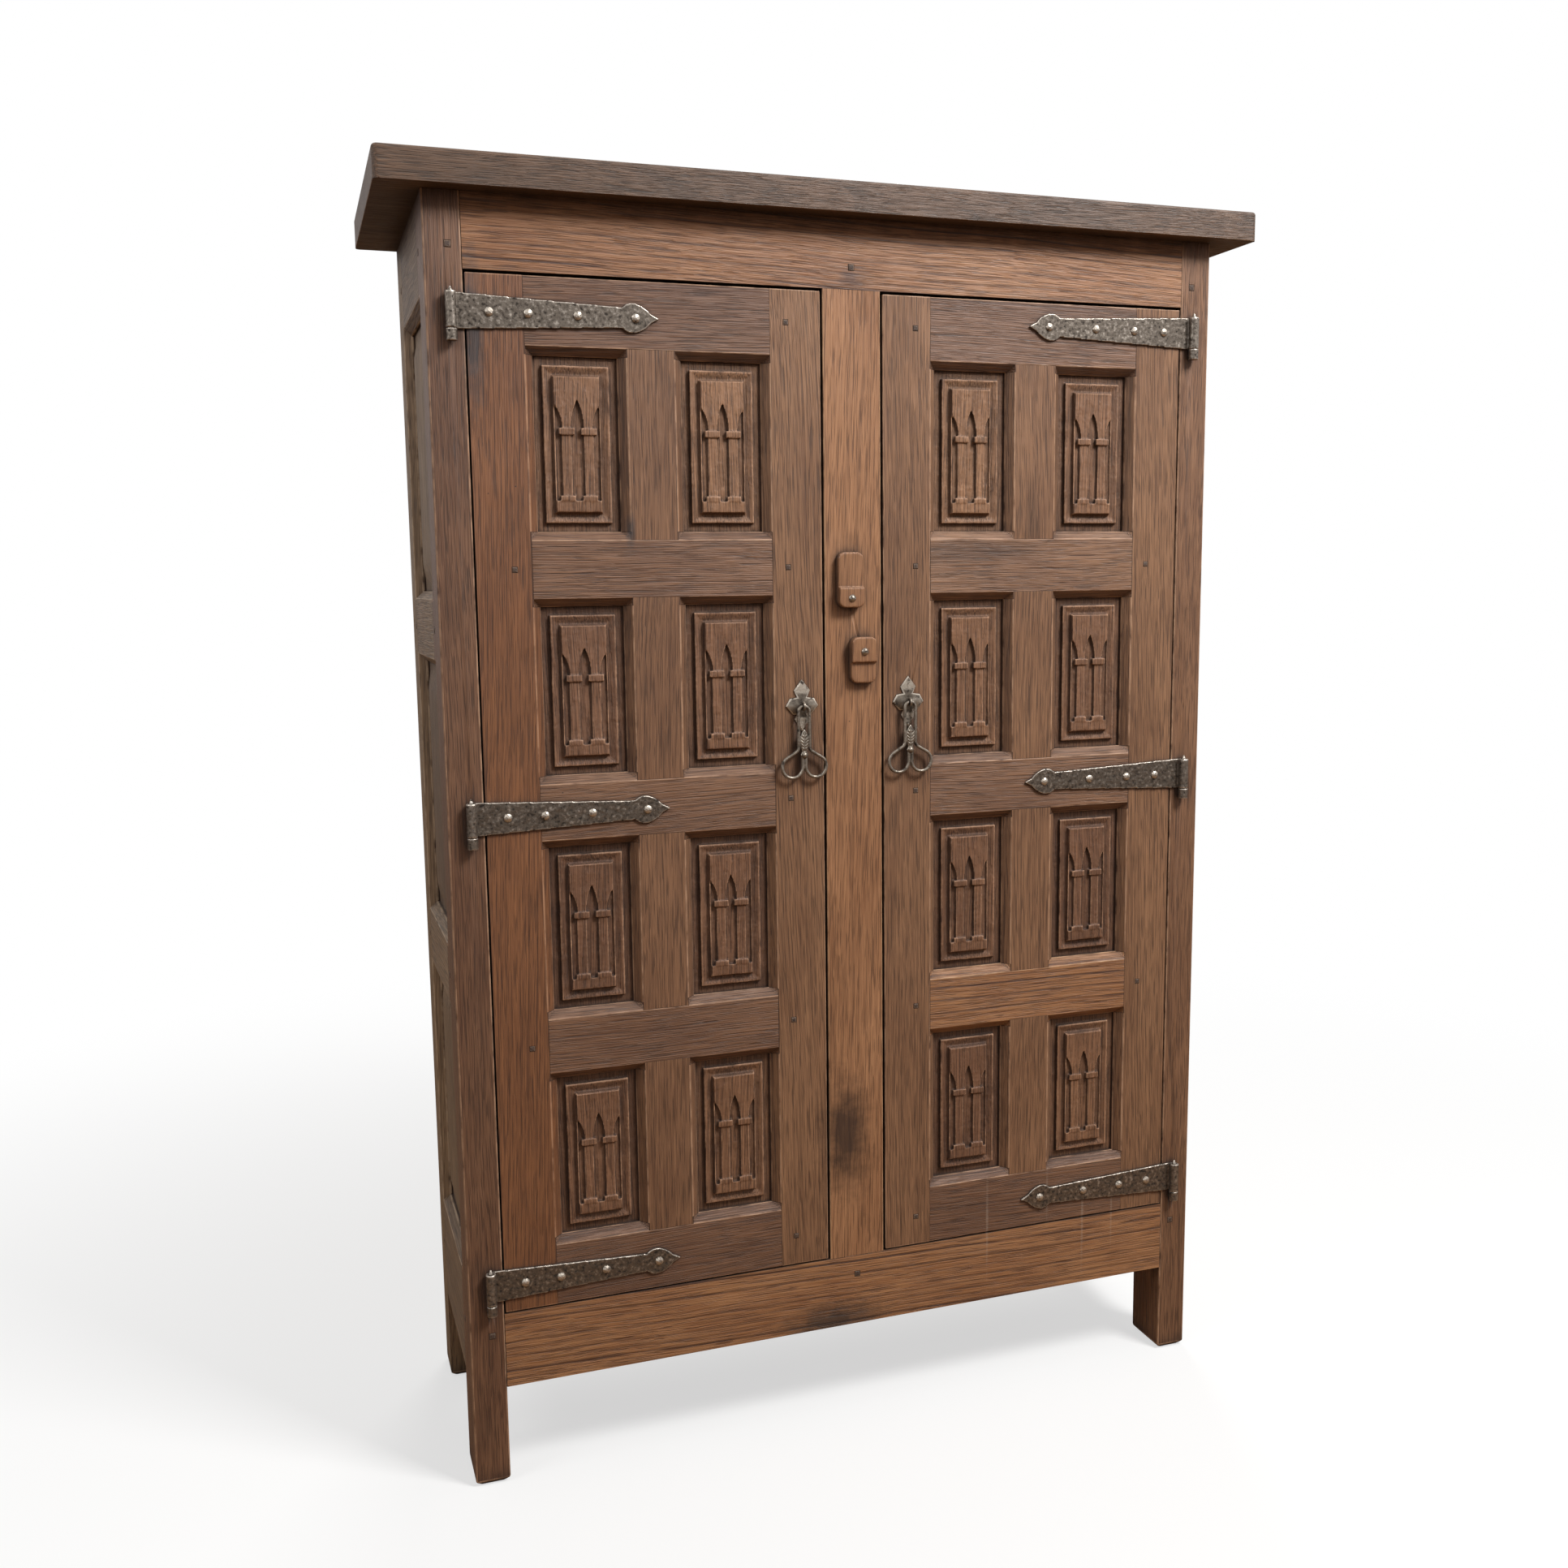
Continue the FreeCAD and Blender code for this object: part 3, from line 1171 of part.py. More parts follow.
def build_button(name, tongue, tail, x, z, turn):
    """A wooden turn button: a thick part round its screw and a thinner tongue. It stands unlocked."""
    body = doc.addObject("PartDesign::Body", name)
    half = button_height / 2
    flat = new_sketch(body, name + "Outline", "XZ_Plane")
    round_rectangle(flat, -tail, tongue, -half, half, button_corner_radius)
    pad(body, flat, tongue_thickness)
    thick = new_sketch(body, name + "PivotOutline", "XZ_Plane")
    turn_in = button_corner_radius
    outline(thick,
            [(turn_in - tail, -half), (pivot_reach, -half), (pivot_reach, half), (turn_in - tail, half),
             (-tail, half - turn_in), (-tail, turn_in - half)],
            arcs={3: button_corner_radius, 5: button_corner_radius})
    soften(body, pad(body, thick, pivot_thickness))
    bore = new_sketch(body, name + "Bore", "XZ_Plane")
    circle(bore, 0, 0, screw_radius + screw_fit_gap)
    hole = body.newObject("PartDesign::Pocket", "Hole")
    hole.Profile = bore
    bind(hole, "Length", (pivot_thickness + overrun) * 2)
    hole.Midplane = True
    place(body, x, front - button_gap, z, turn)
    return keep(body, name)


def build_buttons(mullion):
    """Both turn buttons and their screws in the mullion."""
    build_button("upper_turn_button", upper_button_tongue, upper_button_tail,
                 upper_button_x, upper_button_z, turned(0, 1, 0, -90))
    build_button("lower_turn_button", lower_button_tongue, lower_button_tail,
                 lower_button_x, lower_button_z, turned(0, 1, 0, 90))
    screw = domed_pin("Screw", screw_radius, screw_depth, screw_head_radius, screw_head_height)
    slot = block((-screw_head_radius, -screw_slot_width / 2, screw_head_height - screw_slot_depth),
                 (screw_head_radius, screw_slot_width / 2, screw_head_height + overrun))
    screw = cut(screw, [slot])
    seat = front - button_gap * 2 - pivot_thickness
    screws = []
    for x, z in ((upper_button_x, upper_button_z), (lower_button_x, lower_button_z)):
        screws.append(copy_of(screw, x, seat, z, TO_FRONT))
        depth = screw_depth - (front - seat) + overrun
        mullion.cutters.append(cylinder(screw_radius, depth, x, front - overrun, z, TO_BACK))
    keep_group(screws, "turn_button_screws")


def main():
    posts, mullion, carcass = build_carcass()
    board = build_top_board()
    build_doors(posts)
    build_buttons(mullion)
    for piece in carcass:
        piece.keep()
    mortises = []
    for piece in posts.values():
        low, high = piece.stub
        mortises.append(block(low, (high[0], high[1], high[2] + mortise_gap)))
    keep(cut(board, mortises), "top_board")

    doc.recompute()
    for item in doc.Objects:
        if "Invalid" in item.State or "Error" in item.State:
            raise RuntimeError(f"{item.Label} did not compute: {item.State}")
    os.makedirs("parts", exist_ok=True)
    for item in nodes:
        shape = Part.getShape(item)
        if shape.isNull() or not shape.isValid() or not shape.Solids:
            raise RuntimeError(f"{item.Label} has no valid solid")
        shape.exportStep(f"parts/{item.Label}.step")
        print(item.Label, len(shape.Solids), round(shape.Volume))


main()
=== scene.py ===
"""The looks of a carved oak cabinet with iron hinges, drop handles and wooden turn buttons.

Metres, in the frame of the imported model: X to the right, Y from the doors to the back and Z up.
"""
import math
import random

import bmesh
import bpy
from mathutils import Matrix, Vector
from mathutils.bvhtree import BVHTree


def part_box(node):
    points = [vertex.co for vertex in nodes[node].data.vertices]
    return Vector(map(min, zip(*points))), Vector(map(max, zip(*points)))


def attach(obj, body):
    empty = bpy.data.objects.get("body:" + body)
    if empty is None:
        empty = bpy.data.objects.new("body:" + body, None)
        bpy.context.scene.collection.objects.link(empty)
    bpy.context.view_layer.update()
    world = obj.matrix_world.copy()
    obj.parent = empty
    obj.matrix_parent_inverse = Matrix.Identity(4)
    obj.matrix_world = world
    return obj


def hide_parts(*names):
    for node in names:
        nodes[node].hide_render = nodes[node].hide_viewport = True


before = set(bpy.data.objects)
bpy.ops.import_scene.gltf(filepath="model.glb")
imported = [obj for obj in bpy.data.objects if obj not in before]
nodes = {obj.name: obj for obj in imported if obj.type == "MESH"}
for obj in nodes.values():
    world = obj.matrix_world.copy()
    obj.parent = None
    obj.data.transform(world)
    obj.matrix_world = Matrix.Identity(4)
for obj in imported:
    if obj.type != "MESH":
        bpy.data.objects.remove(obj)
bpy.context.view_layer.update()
scene = bpy.context.scene

MM = 0.001

# The view and its light
CAMERA_PLACE = (-0.709, -1.960, 1.148)
CAMERA_TURN = (math.pi / 2 - 0.1351, 0.0126, -0.3287)
FOCAL_LENGTH = 34.0
SENSOR_WIDTH = 36.0
FARTHEST_SEEN = 100.0
FLOOR_SIZE = 60.0
ROOM_LIGHT = 0.24
# Windows high on the right, high on the left and behind: place, what each shines at, size and watts
LAMPS = (
    ("window", (1.45, -1.95, 3.4), (0.1, 0, 0.95), 1.0, 150),
    ("side_window", (-2.8, -0.9, 3.0), (-0.5, 0, 1.2), 1.2, 30),
    ("far_window", (0.9, 3.0, 2.9), (0, 0, 0.8), 1.6, 60),
)

# Patterns of the wood: how often each repeats in a metre along, across and out of the log
SWAY_RATE = (2.4, 8.0, 8.0)
BREAK_RATE = (9.0, 70.0, 70.0)
FIBRE_RATE = (11.0, 720.0, 720.0)
PORE_RATE = (20.0, 760.0, 760.0)
MOTTLE_RATE = (4.0, 16.0, 16.0)
# How far the rings sway, how deep the bumps are, and how near a corner has to be to gather grime and painted
# shade
SWAY_REACH = 14 * MM
WAVE_DEPTH = 2.2 * MM
FIBRE_DEPTH = 0.5 * MM
CORNER_REACH = 30 * MM
IRON_CORNER_REACH = 4 * MM

# Making pieces
MERGE_REACH = 0.01 * MM
FLUSH_REACH = 0.1 * MM
FLAT_ANGLE = math.radians(1)
SHARP_ANGLE = math.radians(25)
TIMBER_SMOOTH_ANGLE = math.radians(38)
CARVING_SMOOTH_ANGLE = math.radians(60)
PLATE_SMOOTH_ANGLE = math.radians(30)

# Boards: how far their arrises are rounded, and what closes a joint or a seam between them
POST_ARRIS = 2.0 * MM
RAIL_ARRIS = 1.3 * MM
BOARD_ARRIS = 1.0 * MM
PEG_ARRIS = 1.4 * MM
LEAST_ARRIS_LENGTH = 2.4 * MM
JOINT_SHARE = 0.22
TOUCH_REACH = 0.35 * MM
SEAM_REACH = 1.2 * MM
SEAM_GAP = 0.25 * MM
BACK_BOARD_COUNT = 6

# The log that a board was sawn from, and where in it the board lay
LOG_LENGTH = 10.0
LOG_NEAR = 60 * MM
LOG_FAR = 150 * MM
LOG_OFFSET = 45 * MM
LOG_LEAN = 0.035
FLAT_SAWN_SHARE = 0.3

# Carving, by height over the middle of a panel and by distance out from its field
FIELD_SIDE = 27.2 * MM
FIELD_TOP = 79.6 * MM
BEVEL_INSET = 1 * MM
RING_REACH = 0.4 * MM
TABLET_FOOT = 7 * MM
# The Y of a normal lies between these on the bevel round the field
BEVEL_NORMALS = (-0.95, -0.5)
# Rings of the moulding: where each is, where it goes, and how far behind the field
MOULDING = ((1.86 * MM, 1.9 * MM, 5.7 * MM), (7.64 * MM, 4.4 * MM, 5.7 * MM),
            (8.5 * MM, 11.4 * MM, 3.6 * MM), (13.5 * MM, 13.5 * MM, 3.6 * MM))
PLINTH_TOP = -66.5 * MM
BASE_TOP = -60.5 * MM
CAPITAL_FOOT = 11.6 * MM
SPRING = 19.6 * MM
# Plinth, bases, capitals and spandrel: foot, top, and how far each stands before the shafts
BANDS = ((-FIELD_TOP, PLINTH_TOP, 0.8 * MM), (PLINTH_TOP, BASE_TOP, 1.3 * MM),
         (CAPITAL_FOOT, SPRING, 1.8 * MM), (SPRING, FIELD_TOP, 0.5 * MM))
CARVING_VOXEL = 1.0 * MM
GOUGE_SIZE = 12 * MM
GOUGE_DEPTH = 0.9 * MM
CHIP_SIZE = 4 * MM
CHIP_DEPTH = 0.4 * MM
BUTTON_VOXEL = 0.9 * MM
BUTTON_PASSES = 4

# Straps, pintles and rivets
STRAP_VOXEL = 1.15 * MM
PINTLE_VOXEL = 0.9 * MM
HAMMER_SIZE = 9 * MM
HAMMER_DEPTH = 0.7 * MM
SCALE_SIZE = 3 * MM
SCALE_DEPTH = 0.3 * MM
HAMMER_LEVEL = 0.55
RIVET_HEAD_RADIUS = 5.8 * MM
RIVET_HEAD_HEIGHT = 3.3 * MM
RIVET_SHANK_RADIUS = 2.5 * MM
RIVET_SHANK_LENGTH = 31 * MM
UNDERSIDE_NORMAL = -0.9

# Drop handles and their plates
PULL_AXIS_Y = -0.166
PULL_AXIS_Z = 0.990
PULL_VOXEL = 0.55 * MM
PULL_GROWTH = 0.2 * MM
PULL_DENT_SIZE = 5 * MM
PULL_DENT_DEPTH = 0.3 * MM
LEAF_FRONT = 1.5 * MM
# The leaf's midrib and the bud: height under the axis, half length and half width
LEAF_MIDRIB = (46 * MM, 14 * MM, 0.9 * MM)
BUD = (63.2 * MM, 3.6 * MM, 3.4 * MM)
# The leaf's side veins: height under the axis, half length, and distance from the midrib
SIDE_VEINS = ((38.5 * MM, 2.2 * MM, 1.7 * MM), (42.5 * MM, 3.2 * MM, 2.6 * MM),
              (46.5 * MM, 3.4 * MM, 2.8 * MM), (50.5 * MM, 2.9 * MM, 2.3 * MM),
              (54.5 * MM, 2.2 * MM, 1.6 * MM))
SIDE_VEIN_WIDTH = 0.75 * MM
SIDE_VEIN_LEAN = math.radians(42)
PLATE_FRONT = -160.5 * MM
PLATE_CHAMFER = 1.4 * MM
STAPLE_REACH = 7 * MM


# Colours and shader nodes

def tone(code):
    """An sRGB hex colour as the linear colour that a shader takes."""
    parts = [int(code[i:i + 2], 16) / 255 for i in (1, 3, 5)]
    return tuple(v / 12.92 if v <= 0.04045 else ((v + 0.055) / 1.055) ** 2.4 for v in parts) + (1.0,)


def add(tree, kind, inputs=None, stops=None, **settings):
    """Adds a shader node with its settings, input values and links, and returns its outputs."""
    made = tree.nodes.new("ShaderNode" + kind)
    for name, value in settings.items():
        setattr(made, name, value)
    if stops:
        band = made.color_ramp.elements
        while len(band) < len(stops):
            band.new(0.5)
        for item, (position, color) in zip(band, stops):
            item.position = position
            item.color = color if isinstance(color, tuple) else (color, color, color, 1)
    for key, value in (inputs or {}).items():
        if isinstance(value, bpy.types.NodeSocket):
            tree.links.new(value, made.inputs[key])
        else:
            made.inputs[key].default_value = value
    return made.outputs


def new_material(name):
    """A material, with its node tree and the shader in it."""
    material = bpy.data.materials.new(name)
    material.use_nodes = True
    return material, material.node_tree, material.node_tree.nodes["Principled BSDF"]


# Camera, floor and lights

def make_camera():
    """The photographer's place, to the left of the doors and a little above their middle."""
    data = bpy.data.cameras.new("photographer")
    camera = bpy.data.objects.new("photographer", data)
    scene.collection.objects.link(camera)
    camera.location = CAMERA_PLACE
    camera.rotation_euler = CAMERA_TURN
    data.sensor_width = SENSOR_WIDTH
    data.lens = FOCAL_LENGTH
    data.clip_end = FARTHEST_SEEN
    scene.camera = camera


def make_floor():
    """A floor that looks matt and near white, and throws up the warm light of a wooden one."""
    bpy.ops.object.select_all(action="DESELECT")
    bpy.ops.mesh.primitive_plane_add(size=FLOOR_SIZE, location=(0, 0, 0))
    floor = bpy.context.object
    floor.name = "floor"
    material, tree, shader = new_material("matt_floor")
    seen = add(tree, "LightPath")["Is Camera Ray"]
    color = add(tree, "Mix", {0: seen, 6: tone("#92704f"), 7: tone("#eeedeb")}, data_type="RGBA")[2]
    tree.links.new(color, shader.inputs["Base Color"])
    shader.inputs["Roughness"].default_value = 0.9
    shader.inputs["Specular IOR Level"].default_value = 0.2
    # It shows a faint shadow near the cabinet, and has faded to the room's plain white 2.6 m away
    place = add(tree, "TexCoord")["Object"]
    away = add(tree, "VectorMath", {0: place}, operation="LENGTH")["Value"]
    faded = add(tree, "MapRange", {"Value": away, "From Min": 0.6, "From Max": 2.6, "To Min": 0.62},
                interpolation_type="SMOOTHSTEP")["Result"]
    share = add(tree, "Math", {0: faded, 1: seen}, operation="MULTIPLY")[0]
    white = add(tree, "Emission", {"Color": (1, 1, 1, 1), "Strength": 1.0})[0]
    mixed = add(tree, "MixShader", {0: share, 1: shader.outputs[0], 2: white})[0]
    tree.links.new(mixed, tree.nodes["Material Output"].inputs["Surface"])
    floor.data.materials.append(material)


def make_room():
    """The even light of a pale room, which looks white to the camera and in reflections."""
    world = bpy.data.worlds.new("pale_room")
    scene.world = world
    world.use_nodes = True
    tree = world.node_tree
    path = add(tree, "LightPath")
    seen = add(tree, "Math", {0: path["Is Camera Ray"], 1: path["Is Glossy Ray"]}, operation="MAXIMUM")[0]
    seen = add(tree, "Math", {0: seen, 1: path["Is Transmission Ray"]}, operation="MAXIMUM")[0]
    room = add(tree, "Background", {"Color": tone("#f4f2ef"), "Strength": ROOM_LIGHT})[0]
    white = add(tree, "Background", {"Color": (1, 1, 1, 1), "Strength": 1.0})[0]
    mixed = add(tree, "MixShader", {0: seen, 1: room, 2: white})[0]
    tree.links.new(mixed, tree.nodes["World Output"].inputs["Surface"])


def make_lamps():
    """Soft square lamps that shine as windows would."""
    for name, place, aim, size, power in LAMPS:
        data = bpy.data.lights.new(name, "AREA")
        data.size = size
        data.energy = power
        lamp = bpy.data.objects.new(name, data)
        scene.collection.objects.link(lamp)
        lamp.location = place
        lamp.rotation_euler = (Vector(aim) - Vector(place)).to_track_quat("-Z", "Y").to_euler()


# Wood

# Dark brown of grime, which also paints the shade in corners and recesses
GRIME_AND_SHADE = "#2b1a11"
WORM_HOLE = "#20140d"
IRON_STAIN = "#2a2c30"
LIMEWASH = "#b5a695"

# Dark stains and limewash drips: place and half size, colour, and how strong each is
STAINS = (
    ((-0.474, -0.158, 1.440), (0.016, 0.05, 0.105), IRON_STAIN, 0.80),
    ((-0.292, -0.158, 1.214), (0.007, 0.05, 0.024), IRON_STAIN, 0.75),
    ((-0.016, -0.158, 0.400), (0.046, 0.05, 0.108), "#2a1b14", 0.85),
    ((-0.036, -0.158, 0.140), (0.088, 0.05, 0.032), "#2a211d", 0.85),
    ((0.000, -0.158, 1.527), (0.022, 0.05, 0.012), "#33262a", 0.60),
)
DRIPS = (
    ((0.198, -0.158, 0.236), (0.0024, 0.05, 0.085), LIMEWASH, 0.22),
    ((0.293, -0.158, 0.276), (0.0020, 0.05, 0.052), LIMEWASH, 0.16),
    ((0.351, -0.158, 0.223), (0.0024, 0.05, 0.080), LIMEWASH, 0.20),
    ((0.399, -0.158, 0.229), (0.0020, 0.05, 0.062), LIMEWASH, 0.18),
)


def streaks(tree, place, rate, low, high, detail=2.0, roughness=0.5):
    """A noise drawn out along the grain, 0 where it is at its low and 1 at its high."""
    at = add(tree, "VectorMath", {0: place, 1: rate}, operation="MULTIPLY")[0]
    noise = add(tree, "TexNoise", {"Vector": at, "Scale": 1.0, "Detail": detail, "Roughness": roughness})
    return add(tree, "MapRange", {"Value": noise["Fac"], "From Min": low, "From Max": high})["Result"]


def place_in_log(tree, grain):
    """The trunk is not straight: its rings sway over about 400 mm of its length."""
    sway_at = add(tree, "VectorMath", {0: grain, 1: SWAY_RATE}, operation="MULTIPLY")[0]
    sway = add(tree, "TexNoise", {"Vector": sway_at, "Scale": 1.0, "Detail": 2.0})["Color"]
    sway = add(tree, "VectorMath", {0: sway, 1: (0.5, 0.5, 0.5)}, operation="SUBTRACT")[0]
    reach = (0.0, SWAY_REACH, SWAY_REACH)
    return add(tree, "VectorMath", {0: sway, 1: reach, 2: grain}, operation="MULTIPLY_ADD")[0]


def early_wood(tree, log, ring, line_share):
    """The porous lines of early wood, one to a year's ring, stronger in some years and broken in places."""
    across = add(tree, "VectorMath", {0: log, 1: (0.0, 1.0, 1.0)}, operation="MULTIPLY")[0]
    radius = add(tree, "VectorMath", {0: across}, operation="LENGTH")["Value"]
    years = add(tree, "Math", {0: radius, 1: ring}, operation="DIVIDE")[0]
    year = add(tree, "Math", {0: years}, operation="FLOOR")[0]
    chance = add(tree, "TexWhiteNoise", {"W": year}, noise_dimensions="1D")["Value"]
    within = add(tree, "Math", {0: years}, operation="FRACT")[0]
    early = add(tree, "ValToRGB", {0: within},
                stops=[(0.0, 1.0), (0.2, 0.9), (0.4, 0.1), (0.85, 0.0), (0.96, 0.4), (1.0, 1.0)])[0]
    broken = streaks(tree, log, BREAK_RATE, 0.30, 0.48)
    strength = add(tree, "MapRange",
                   {"Value": chance, "From Min": 0.35, "To Min": 0.12, "To Max": line_share})
    lines = add(tree, "Math", {0: early, 1: strength["Result"]}, operation="MULTIPLY")[0]
    return add(tree, "Math", {0: lines, 1: broken}, operation="MULTIPLY")[0]


def worm_holes(tree, place):
    """Holes up to 1.7 mm across, about six in a square metre."""
    hole_at = add(tree, "TexVoronoi", {"Vector": place, "Scale": 26.0})
    near = add(tree, "MapRange", {"Value": hole_at["Distance"], "From Min": 0.026, "From Max": 0.018})
    some = add(tree, "SeparateColor", {0: hole_at["Color"]})[0]
    some = add(tree, "Math", {0: some, 1: 0.8}, operation="GREATER_THAN")[0]
    return add(tree, "Math", {0: near["Result"], 1: some}, operation="MULTIPLY")[0]


def grime_shade_and_wear(tree, place, carved):
    """Wax and dust gather in the corners, where shade is also painted, and hands rub the arrises bare: how
    much of each there is.
    """
    arris = add(tree, "Attribute", attribute_name="arris")["Fac"]
    # Ambient occlusion darkens corners and recesses: painted shade, made patchy like the grime that also
    # gathers there
    occlusion_shade = add(tree, "AmbientOcclusion", {"Distance": CORNER_REACH}, samples=6)["AO"]
    patchy = add(tree, "TexNoise", {"Vector": place, "Scale": 38.0, "Detail": 3.0})["Fac"]
    occlusion_shade = add(tree, "Math", {0: patchy, 1: 0.4, 2: occlusion_shade}, operation="MULTIPLY_ADD")[0]
    grime_and_shade = add(tree, "MapRange",
                {"Value": occlusion_shade, "From Min": 1.15, "From Max": 0.66, "To Max": 0.95})["Result"]
    sunk = add(tree, "Math", {0: arris, 1: -0.6}, operation="MULTIPLY")[0]
    grime_and_shade = add(tree, "Math", {0: grime_and_shade, 1: sunk}, operation="MAXIMUM")[0]
    if carved:
        carving = add(tree, "Attribute", attribute_name="carving")["Fac"]
        bend = add(tree, "NewGeometry")["Pointiness"]
        hollow = add(tree, "MapRange",
                     {"Value": bend, "From Min": 0.492, "From Max": 0.455, "To Max": 0.75})["Result"]
        hollow = add(tree, "Math", {0: hollow, 1: carving}, operation="MULTIPLY")[0]
        grime_and_shade = add(tree, "Math", {0: grime_and_shade, 1: hollow}, operation="MAXIMUM")[0]
        ridge = add(tree, "MapRange", {"Value": bend, "From Min": 0.51, "From Max": 0.56})["Result"]
        ridge = add(tree, "Math", {0: ridge, 1: carving}, operation="MULTIPLY")[0]
        arris = add(tree, "Math", {0: arris, 1: ridge}, operation="MAXIMUM")[0]
    rubbed = add(tree, "MapRange",
                 {"Value": patchy, "From Min": 0.32, "From Max": 0.58, "To Max": 0.8})["Result"]
    rubbed = add(tree, "Math", {0: rubbed, 1: arris}, operation="MULTIPLY", use_clamp=True)[0]
    return grime_and_shade, rubbed


def wood(name, light, dark, line, worn, ring, line_share, roughness, carved=False, marks=()):
    """Old waxed wood: wavy growth rings, fibres and pores along the grain, grime and painted shade in
    corners, worn arrises.

    The colours are the pale and dark fibres, the porous lines of early wood, and the bare worn arris.
    The ring is the thickness of a year's growth, and the line share is how strong its line may be.
    """
    material, tree, shader = new_material(name)
    place = add(tree, "TexCoord")["Object"]
    grain = add(tree, "Attribute", attribute_name="grain")["Vector"]
    own_tone = add(tree, "Attribute", attribute_name="tone")["Fac"]
    log = place_in_log(tree, grain)
    lines = early_wood(tree, log, ring, line_share)

    # Fibres about 1.4 mm wide and 90 mm long, and pores drawn 1.3 mm wide, coarser than the real 0.3 mm
    fibre = streaks(tree, log, FIBRE_RATE, 0.34, 0.66, roughness=0.7)
    pore = streaks(tree, log, PORE_RATE, 0.55, 0.62, detail=1.0)
    mottle = streaks(tree, grain, MOTTLE_RATE, 0.3, 0.7, detail=3.0)
    blend = add(tree, "Mix", {0: 0.36, 2: fibre, 3: mottle})[0]
    color = add(tree, "Mix", {0: blend, 6: tone(dark), 7: tone(light)}, data_type="RGBA")[2]
    color = add(tree, "Mix", {0: lines, 6: color, 7: tone(line)}, data_type="RGBA")[2]
    pore_share = add(tree, "Math", {0: pore, 1: 0.6}, operation="MULTIPLY")[0]
    color = add(tree, "Mix", {0: pore_share, 6: color, 7: tone(line)}, data_type="RGBA")[2]

    # Each board has its own tone
    value = add(tree, "MapRange", {"Value": own_tone, "From Min": -1.0, "To Min": 0.76, "To Max": 1.18})
    hue = add(tree, "MapRange", {"Value": own_tone, "From Min": -1.0, "To Min": 0.498, "To Max": 0.505})
    color = add(tree, "HueSaturation", {"Color": color, "Hue": hue["Result"], "Value": value["Result"]})[0]

    holes = worm_holes(tree, place)
    grime_and_shade, rubbed = grime_shade_and_wear(tree, place, carved)
    color = add(tree, "Mix", {0: holes, 6: color, 7: tone(WORM_HOLE)}, data_type="RGBA")[2]
    # The grime colour marks real grime in joints and carved hollows, and paints shade in occluded corners and
    # recesses
    color = add(tree, "Mix", {0: grime_and_shade, 6: color, 7: tone(GRIME_AND_SHADE)}, data_type="RGBA")[2]
    color = add(tree, "Mix", {0: rubbed, 6: color, 7: tone(worn)}, data_type="RGBA")[2]

    ragged = add(tree, "TexNoise", {"Vector": place, "Scale": 60.0, "Detail": 4.0, "Roughness": 0.6})["Fac"]
    for centre, reach, shade, share in marks:
        at = add(tree, "VectorMath", {0: place, 1: centre}, operation="SUBTRACT")[0]
        at = add(tree, "VectorMath", {0: at, 1: reach}, operation="DIVIDE")[0]
        far = add(tree, "VectorMath", {0: at}, operation="LENGTH")["Value"]
        far = add(tree, "Math", {0: far, 1: ragged}, operation="ADD")[0]
        mark = add(tree, "MapRange", {"Value": far, "From Min": 1.5, "From Max": 0.75, "To Max": share})
        color = add(tree, "Mix", {0: mark["Result"], 6: color, 7: tone(shade)}, data_type="RGBA")[2]
    tree.links.new(color, shader.inputs["Base Color"])

    gloss = add(tree, "MapRange", {"Value": fibre, "To Min": roughness + 0.12, "To Max": roughness})["Result"]
    gloss = add(tree, "Math", {0: grime_and_shade, 1: 0.25, 2: gloss}, operation="MULTIPLY_ADD")[0]
    tree.links.new(gloss, shader.inputs["Roughness"])
    shader.inputs["IOR"].default_value = 1.5

    # Planed by hand, so each face undulates a little. The soft early wood is worn below the hard fibres
    planed = add(tree, "TexNoise", {"Vector": place, "Scale": 22.0, "Detail": 2.0})["Fac"]
    waves = add(tree, "Bump", {"Height": planed, "Strength": 0.5, "Distance": WAVE_DEPTH})[0]
    height = add(tree, "Math", {0: fibre, 1: lines}, operation="SUBTRACT")[0]
    height = add(tree, "Math", {0: height, 1: pore}, operation="SUBTRACT")[0]
    fine = add(tree, "Bump", {"Height": height, "Strength": 0.6, "Distance": FIBRE_DEPTH, "Normal": waves})[0]
    tree.links.new(fine, shader.inputs["Normal"])
    return material


# Waxed oak that has browned and greyed evenly, for the doors and the front of the carcass
BROWN = wood("waxed_brown_oak", "#8f694e", "#5a3a27", "#301d14", "#b08c70",
             ring=5.0 * MM, line_share=0.6, roughness=0.50, marks=STAINS + DRIPS)
# Paler, yellower oak with bold dark early wood, for rails that were cut from another tree
GOLDEN = wood("waxed_golden_oak", "#a97b55", "#7d4f30", "#35190d", "#bd9672",
              ring=8.5 * MM, line_share=1.0, roughness=0.48, marks=STAINS + DRIPS)
# The same oak without such lines
MELLOW = wood("waxed_mellow_oak", "#a97b59", "#7c5236", "#402517", "#bd9672",
              ring=5.0 * MM, line_share=0.4, roughness=0.48, marks=STAINS)
# Oak that has turned reddish under its wax
RED = wood("waxed_red_oak", "#90603f", "#5f3923", "#361f15", "#a98062",
           ring=5.0 * MM, line_share=0.6, roughness=0.50, marks=STAINS[:2])
# Oak gone grey in the light, for the sides
GREY = wood("greyed_oak", "#92775d", "#574230", "#33251a", "#b39b82",
            ring=5.0 * MM, line_share=0.7, roughness=0.58)
# Dark oak, waxed and dulled by dust, for the board on top
DARK = wood("dark_waxed_oak", "#6b4f3b", "#39281c", "#20160f", "#866b54",
            ring=5.0 * MM, line_share=0.5, roughness=0.52)
# Waxed oak cut with a gouge, with dark wax left in the hollows
CARVED = wood("carved_waxed_oak", "#976e52", "#5b3b27", "#2e1b12", "#ba9274",
              ring=4.4 * MM, line_share=0.4, roughness=0.50, carved=True)
